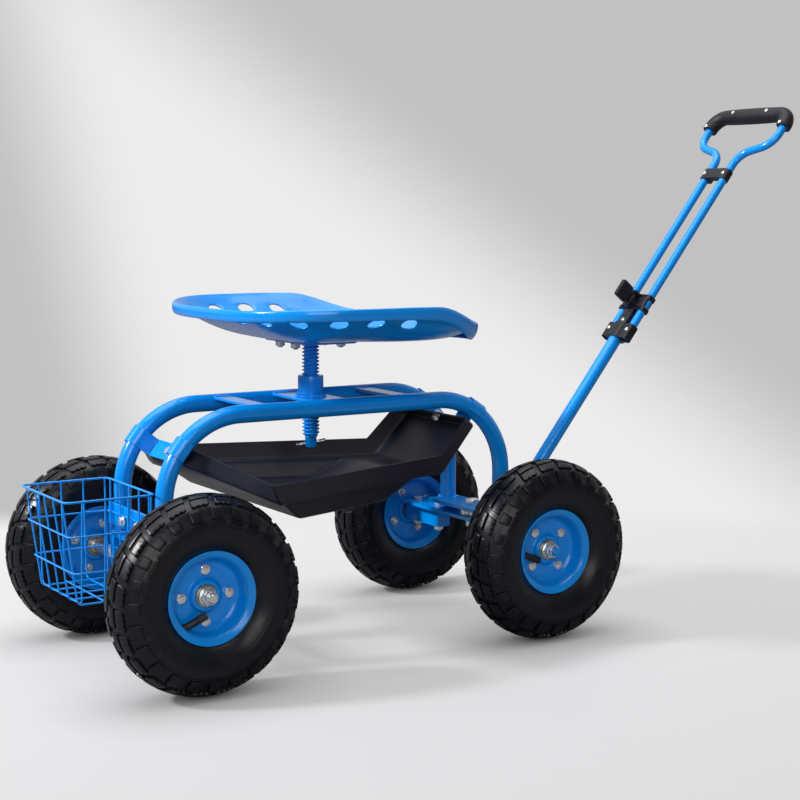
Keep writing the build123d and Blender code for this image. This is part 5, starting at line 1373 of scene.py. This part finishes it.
def thread_radius(z, turn):
    """Radius of the screw at a height and angle, eased in at the bottom."""
    phase = ((z - thread_from) / THREAD_PITCH - turn / (2 * math.pi)) % 1.0
    flank = (1 - 2 * THREAD_CREST) / 2
    away = abs(phase - 0.5)
    share = 1.0 if away < THREAD_CREST / 2 else max(0.0, 1 - (away - THREAD_CREST / 2) / flank)
    ease = min(max((z - thread_from) / THREAD_PITCH, 0.0), 1.0)
    root = TIP_RADIUS + (THREAD_ROOT - TIP_RADIUS) * ease
    return root + (THREAD_RADIUS - THREAD_ROOT) * share * ease


rings = [circle((0, 0, post_low.z), TIP_END_SHARE * TIP_RADIUS, POST_SIDES),
         circle((0, 0, post_low.z + TIP_CHAMFER), TIP_RADIUS, POST_SIDES)]
rows = int((post_high.z - thread_from) / THREAD_STEP)
for row in range(rows + 1):
    z = thread_from + (post_high.z - thread_from) * row / rows
    rings.append([(*polar(thread_radius(z, turn), turn), z) for turn in turns_round(POST_SIDES)])
post = placed(lofted(rings), Matrix.Translation((seat_x, 0, 0)))
piece("seat_screw", "threaded_post", [post], blue_powder_coat, "seat_post",
      crease=THREAD_CREASE)
beside = TIP_RADIUS + CLIP_RADIUS + CLIP_PLAY
clip = rounded([(CLIP_REACH, 0, 0), (-CLIP_REACH, 0, 0), (-CLIP_REACH, beside, 0),
                (CLIP_REACH / 2, beside, 0), (CLIP_REACH, beside + CLIP_FLARE, 0)], CLIP_BEND)
clip_place = (Matrix.Translation((seat_x, 0, post_low.z + CLIP_ABOVE_TIP))
              @ Matrix.Rotation(math.radians(CLIP_ANGLE), 4, "Z")
              @ Matrix.Rotation(math.radians(CLIP_TILT), 4, "Y"))
clip_wire = placed(tube(clip, CLIP_RADIUS, CLIP_SIDES), clip_place)
piece("spring_clip", "retaining_clip", [clip_wire], zinc_plate, "seat_post")


# Seat pan: one sheet of steel pressed to a bucket, with oval drain holes round the back and sides, a
# notch between the thighs, and its edge rolled over. Four bolts hold it to a plate welded on the screw.
SEAT_HALF = 212.0
SEAT_BACK = 170.0
SEAT_FRONT = 219.0
SEAT_NOTCH = 24.0
SEAT_NOTCH_WIDTH = 55.0
SEAT_SQUARE = 0.76
SEAT_FLOOR = 426.0
SEAT_FLAT = 0.25
SEAT_RIM_SIDE = 480.0
SEAT_RIM_BACK = 474.5
# Angles from the back over which the rim rises, and over which the dish grows flatter in front.
SEAT_RISE_ANGLES = (25.0, 75.0)
SEAT_FRONT_ANGLES = (95.0, 140.0)
SEAT_FRONT_POWER = 4.0
SEAT_DROP = 29.0
SEAT_DROP_RUN = (80.0, 191.0)
SEAT_SHEET = 2.0
SEAT_EDGE = 0.5
HOLE_SHARE = 0.87
HOLE_LENGTH = 24.0
HOLE_WIDTH = 21.0
HOLE_STEP = 16.0
HOLES_PER_SIDE = 7
HOLE_POINTS = 40
RIM_POINTS = 240
GRID_STEP = 6.0
GRID_SHARE = 0.955
GRID_FROM_HOLE = 2.5
HOLE_INSIDE = -0.05
# The rolled lip as way out and height from the brow; in front it is deeper and curls back under.
LIP_ROLL = ((0.0, 0.0), (0.9, -0.4), (1.8, -1.4), (2.5, -3.2), (2.8, -6.0), (2.8, -9.0), (2.5, -12.0),
            (1.6, -14.4), (0.2, -15.8), (-1.6, -16.0), (-3.0, -15.0))
LIP_BACK = 3.0
LIP_LOWEST = -16.0
LIP_FRONT = 0.65
LIP_CURL = 9.0
# The roll's puckers where it was pressed round a tight curve: height, angle, spread and waves in a turn.
PUCKER = 0.5
PUCKER_AT = 318.0
PUCKER_SPREAD = 16.0
PUCKER_WAVES = 58
PUCKER_RUN = 4.0


def front_notch(across):
    """How far the notch between the thighs sets the front edge back."""
    return SEAT_NOTCH * math.exp(-(across / SEAT_NOTCH_WIDTH) ** 2)


def seat_plan(angle):
    """Rim of the seat in plan as (forward, across), at an angle from the middle of the back."""
    c, s = math.cos(angle), math.sin(angle)
    across = SEAT_HALF * math.copysign(abs(s) ** SEAT_SQUARE, s)
    forward = -(SEAT_BACK if c > 0 else SEAT_FRONT) * math.copysign(abs(c) ** SEAT_SQUARE, c)
    if c < 0:
        forward -= front_notch(across)
    return Vector((forward, across))


def seat_share(forward, across):
    """0 in the middle of the seat, 1 on its rim."""
    reach = SEAT_FRONT - front_notch(across) if forward > 0 else SEAT_BACK
    power = 2 / SEAT_SQUARE
    return (abs(forward / reach) ** power + abs(across / SEAT_HALF) ** power) ** (1 / power)


def seat_height(forward, across):
    """Height of the pressed sheet: flat in the middle, dished up to a rim that dips in front."""
    share = max(seat_share(forward, across), 1e-6)
    angle = math.degrees(abs(math.atan2(across, -forward)))
    rise = eased(angle, *SEAT_RISE_ANGLES)
    rim = SEAT_RIM_BACK + (SEAT_RIM_SIDE - SEAT_RIM_BACK) * rise
    rim -= SEAT_DROP * eased(forward / share, *SEAT_DROP_RUN)
    power = 2 + rise + SEAT_FRONT_POWER * eased(angle, *SEAT_FRONT_ANGLES)
    dish = max((share - SEAT_FLAT) / (1 - SEAT_FLAT), 0.0) ** power
    return SEAT_FLOOR + (rim - SEAT_FLOOR) * dish


rim_turns = turns_round(RIM_POINTS)
rim_line = [seat_plan(turn) for turn in rim_turns]
rim_out = []
for k in range(RIM_POINTS):
    along = (rim_line[(k + 1) % RIM_POINTS] - rim_line[k - 1]).normalized()
    rim_out.append(Vector((-along.y, along.x)))
if rim_out[0].x > 0:
    rim_out = [-out for out in rim_out]
brow = [point - out * LIP_BACK for point, out in zip(rim_line, rim_out)]
holes = []
plan_lines = [brow]
for side in (-1, 1):
    for index in range(HOLES_PER_SIDE):
        angle = math.radians(side * (index + 0.5) * HOLE_STEP)
        heading = Vector((-math.cos(angle), math.sin(angle)))
        tangent = Vector((-heading.y, heading.x))
        spot = heading * (HOLE_SHARE / seat_share(*heading))
        slope = (seat_height(*(spot + heading)) - seat_height(*(spot - heading))) / 2
        length, width = HOLE_LENGTH / 2, HOLE_WIDTH / 2 / math.sqrt(1 + slope * slope)
        holes.append((spot, tangent, heading, length, width))
        plan_lines.append([spot + tangent * (length * math.cos(turn)) + heading * (width * math.sin(turn))
                           for turn in turns_round(HOLE_POINTS)])


def in_hole(point, grow):
    """Whether a point in plan lies in a hole, or within so much of it."""
    for spot, tangent, heading, length, width in holes:
        away = point - spot
        a = away.dot(tangent) / (length + grow)
        b = away.dot(heading) / (width + grow)
        if a * a + b * b < 1:
            return True
    return False


grid = []
grid_half = int(SEAT_HALF / GRID_STEP)
for i in range(-int(SEAT_BACK / GRID_STEP), int(SEAT_FRONT / GRID_STEP) + 1):
    for k in range(-grid_half, grid_half + 1):
        point = Vector((i * GRID_STEP, (k + 0.5 * (i % 2)) * GRID_STEP))
        if seat_share(*point) < GRID_SHARE and not in_hole(point, GRID_FROM_HOLE):
            grid.append(point)
flat, faces, _ = filled(plan_lines, grid)
dish = ([(point.x, point.y, seat_height(*point)) for point in flat],
        [face for face in faces if not in_hole(middle_of(flat, face), HOLE_INSIDE)])
lip_rings = [[] for _ in LIP_ROLL]
for turn, edge, out in zip(rim_turns, brow, rim_out):
    angle = math.degrees(turn)
    pucker = PUCKER * math.exp(-((angle - PUCKER_AT) / PUCKER_SPREAD) ** 2) * math.sin(turn * PUCKER_WAVES)
    ahead = max(0.0, -math.cos(turn))
    height = seat_height(*edge)
    for ring, (reach, rise) in zip(lip_rings, LIP_ROLL):
        spot = edge + out * (reach - LIP_CURL * ahead * (rise / LIP_LOWEST) ** 2)
        fall = rise * (1 + LIP_FRONT * ahead) + pucker * min(-rise / PUCKER_RUN, 1.0)
        ring.append((spot.x, spot.y, height + fall))
pan = all_placed([dish, lofted(lip_rings, ends=False)], Matrix.Translation((seat_x, 0, 0)))
seat_mesh = shaped("seat_pan", pan, blue_powder_coat, bevel=SEAT_EDGE)
if sum(face.normal.z * face.area for face in seat_mesh.polygons) < 0:
    seat_mesh.flip_normals()
seat = stand_in("pressed_seat_pan", seat_mesh, "seat", ["seat_pan"])
thickened(seat, SEAT_SHEET, even=False)
bevelled(seat, "pressed_edges", SEAT_EDGE, segments=2, angle=50)


# Seat plate: a flat of steel with rounded corners, welded on the screw's top and painted with it. Four
# zinc-plated bolts go down through the pan and the plate.
SEAT_PLATE_CORNER = 14.0
SEAT_PLATE_EDGE = 0.7
SEAT_BOLT_X = 36.0
SEAT_BOLT_Y = 22.0
SEAT_BOLT_RISE = 0.1
SEAT_BOLT_PLAY = 0.2
low, high = corners("seat_plate")
outline = rounded(rectangle(low.x, low.y, high.x, high.y), SEAT_PLATE_CORNER, closed=True)
piece("seat_mount_plate", "seat_plate", [prism(outline, low.z, high.z)], blue_powder_coat, "seat",
      bevel=SEAT_PLATE_EDGE)
seat_bolt = bolt(*BOLT_8, grip=high.z - low.z + SEAT_SHEET + SEAT_BOLT_PLAY)
seat_bolts = []
for x, y in rectangle(-SEAT_BOLT_X, -SEAT_BOLT_Y, SEAT_BOLT_X, SEAT_BOLT_Y):
    seat_bolts += all_placed(seat_bolt, Matrix.Translation((seat_x + x, y, SEAT_FLOOR + SEAT_BOLT_RISE)))
piece("seat_bolt_set", "seat_bolts", seat_bolts, zinc_plate, "seat")


# Studio: a pale floor that melts into a plain wall, three soft lamps, and the photograph's camera.
# The camera stands about 2.4 m away, a little above the seat, and looks slightly down.
CAMERA_AT = (-1337.97, -1988.71, 605.75)
CAMERA_YAW = 32.407
CAMERA_PITCH = 6.716
CAMERA_ROLL = 0.198
CAMERA_LENS = 73.717
CAMERA_SENSOR = 36.0
CAMERA_END = 60.0

camera_turn = (Matrix.Rotation(math.radians(-CAMERA_YAW), 4, "Z")
               @ Matrix.Rotation(math.radians(90 - CAMERA_PITCH), 4, "X")
               @ Matrix.Rotation(math.radians(CAMERA_ROLL), 4, "Z"))
facing = Matrix.Rotation(math.radians(CAMERA_YAW), 3, "Z").to_euler()

# Painted studio board: matt grey to the lamps and paler to the camera, so that the object's shadow stays
# light; the paleness fades close under the tyres, a painted shadow. Towards the back it melts into the
# wall.
FLOOR_HALF = 60.0
FLOOR_MELT = (0.60, 0.86)
BOARD_DEPTHS = (-1.2, 0.6)
BOARD_GLOW = (0.33, 0.49)
# Reach and samples of the painted shade that dims the glow close under the tyres.
PAINTED_SHADE_REACH = 0.12
PAINTED_SHADE_SAMPLES = 16
studio_board, tree, here = bare_material("matt_studio_board")
stipple = add_node(tree, "ShaderNodeTexNoise", {"Scale": per(400), "Detail": 2.0}, [("Vector", here)])
tone = add_node(tree, "ShaderNodeMix", {"data_type": "RGBA", 6: linear("8A8A8C"), 7: linear("8F8F91")},
                [(0, stipple.outputs["Fac"])])
light_path = add_node(tree, "ShaderNodeLightPath")
away = add_node(tree, "ShaderNodeMapping", {"Rotation": facing}, [("Vector", here)])
depth = add_node(tree, "ShaderNodeSeparateXYZ", links=[("Vector", away.outputs["Vector"])])
paling = add_node(tree, "ShaderNodeMapRange",
                  {"From Min": BOARD_DEPTHS[0], "From Max": BOARD_DEPTHS[1], "To Min": BOARD_GLOW[0],
                   "To Max": BOARD_GLOW[1]}, [("Value", depth.outputs["Y"])])
# Painted shadow under the tyres: ambient occlusion dims the camera-only glow near the object.
painted_contact_shade = add_node(tree, "ShaderNodeAmbientOcclusion",
                   {"samples": PAINTED_SHADE_SAMPLES, "Distance": PAINTED_SHADE_REACH})
glow_with_painted_shade = add_node(tree, "ShaderNodeMath", {"operation": "MULTIPLY"},
                     [(0, paling.outputs["Result"]), (1, painted_contact_shade.outputs["AO"])])
glow = add_node(tree, "ShaderNodeMath", {"operation": "MULTIPLY"},
                [(0, glow_with_painted_shade.outputs[0]), (1, light_path.outputs["Is Camera Ray"])])
board = add_node(tree, "ShaderNodeBsdfPrincipled",
                 {"Roughness": 0.7, "Specular IOR Level": 0.2, "Emission Color": linear("FFFFFF")},
                 [("Base Color", tone.outputs[2]), ("Emission Strength", glow.outputs[0])])
melt = add_node(tree, "ShaderNodeMapRange",
                {"interpolation_type": "SMOOTHSTEP", "From Min": FLOOR_MELT[0], "From Max": FLOOR_MELT[1]},
                [("Value", depth.outputs["Y"])])
seen = add_node(tree, "ShaderNodeMath", {"operation": "MULTIPLY"},
                [(0, melt.outputs["Result"]), (1, light_path.outputs["Is Camera Ray"])])
clear = add_node(tree, "ShaderNodeBsdfTransparent")
shader = add_node(tree, "ShaderNodeMixShader",
                  links=[(0, seen.outputs[0]), (1, board.outputs["BSDF"]), (2, clear.outputs[0])])
add_node(tree, "ShaderNodeOutputMaterial", links=[("Surface", shader.outputs[0])])
floor_corners = rectangle(-FLOOR_HALF, -FLOOR_HALF, FLOOR_HALF, FLOOR_HALF)
floor_mesh = bpy.data.meshes.new("studio_floor")
floor_mesh.from_pydata([(x, y, 0) for x, y in floor_corners], [], [(0, 1, 2, 3)])
floor_mesh.materials.append(studio_board)
studio_floor = bpy.data.objects.new("studio_floor", floor_mesh)
bpy.context.scene.collection.objects.link(studio_floor)

# The wall behind: mid grey, with a beam of light that falls across it from the upper left and fades. It is
# drawn by direction for the camera and for reflections; every other ray meets a plain dim room.
# Each soft edge of the beam: its turn in the picture, the axis across it, and where it is dark and lit.
BEAM_EDGES = ((-35.7, "Y", 0.157, 0.057), (13.0, "X", -0.212, -0.12))
ROOM_STRENGTH = 0.14
MIRRORED_FROM = 0.1
MIRRORED_TO = -0.4
world = bpy.data.worlds.new("studio_air")
bpy.context.scene.world = world
world.use_nodes = True
tree = world.node_tree
tree.nodes.clear()
light_path = add_node(tree, "ShaderNodeLightPath")
look = add_node(tree, "ShaderNodeTexCoord").outputs["Generated"]
edges = []
for turn, axis, dark, lit in BEAM_EDGES:
    picture = camera_turn.to_3x3() @ Matrix.Rotation(math.radians(turn), 3, "Z")
    to_picture = picture.transposed().to_euler()
    beam = add_node(tree, "ShaderNodeMapping", {"vector_type": "VECTOR", "Rotation": to_picture},
                    [("Vector", look)])
    beam_axes = add_node(tree, "ShaderNodeSeparateXYZ", links=[("Vector", beam.outputs["Vector"])])
    edge = add_node(tree, "ShaderNodeMapRange",
                    {"interpolation_type": "SMOOTHSTEP", "From Min": dark, "From Max": lit},
                    [("Value", beam_axes.outputs[axis])])
    edges.append(edge.outputs["Result"])
beam_light = add_node(tree, "ShaderNodeMath", {"operation": "MULTIPLY"}, list(enumerate(edges)))
wall_tone = add_node(tree, "ShaderNodeMix", {"data_type": "RGBA", 6: linear("C1C1C2"), 7: linear("ECECED")},
                     [(0, beam_light.outputs[0])])
room = add_node(tree, "ShaderNodeBackground", {"Color": linear("FFFFFF"), "Strength": ROOM_STRENGTH})
wall = add_node(tree, "ShaderNodeBackground", {"Strength": 1.0}, [("Color", wall_tone.outputs[2])])
ahead = add_node(tree, "ShaderNodeMapRange", {"From Min": MIRRORED_FROM, "From Max": MIRRORED_TO},
                 [("Value", beam_axes.outputs["Z"])])
mirrored = add_node(tree, "ShaderNodeMath", {"operation": "MULTIPLY"},
                    [(0, light_path.outputs["Is Glossy Ray"]), (1, ahead.outputs["Result"])])
seen = add_node(tree, "ShaderNodeMath", {"operation": "MAXIMUM"},
                [(0, light_path.outputs["Is Camera Ray"]), (1, mirrored.outputs[0])])
choice = add_node(tree, "ShaderNodeMixShader",
                  links=[(0, seen.outputs[0]), (1, room.outputs[0]), (2, wall.outputs[0])])
add_node(tree, "ShaderNodeOutputWorld", links=[("Surface", choice.outputs[0])])

# Lamps: a small bright softbox high on the left, a broad one overhead and one beside the camera. Each row
# has its name, place, aim, size and watts, in metres.
LAMPS = (("key_softbox", (-3.9, 1.1, 2.95), (-0.1, 0, 0.25), (0.55, 0.55), 240),
         ("overhead_softbox", (-0.2, 0.2, 3.2), (-0.1, 0, 0.2), (3.0, 3.0), 75),
         ("front_softbox", (-1.9, -3.4, 1.7), (-0.1, 0, 0.3), (2.4, 1.8), 48))
for name, at, aim, size, power in LAMPS:
    lamp = bpy.data.lights.new(name, "AREA")
    lamp.shape = "RECTANGLE"
    lamp.size, lamp.size_y = size
    lamp.energy = power
    softbox = bpy.data.objects.new(name, lamp)
    softbox.location = at
    softbox.rotation_euler = (Vector(aim) - Vector(at)).to_track_quat("-Z", "Y").to_euler()
    bpy.context.scene.collection.objects.link(softbox)

camera_data = bpy.data.cameras.new("photo_camera")
camera_data.lens = CAMERA_LENS
camera_data.sensor_width = CAMERA_SENSOR
camera_data.sensor_fit = "HORIZONTAL"
camera_data.clip_end = CAMERA_END
camera = bpy.data.objects.new("photo_camera", camera_data)
camera.matrix_world = Matrix.Translation(Vector(CAMERA_AT) * MM) @ camera_turn
bpy.context.scene.collection.objects.link(camera)
bpy.context.scene.camera = camera
bpy.context.scene.view_settings.view_transform = "Standard"
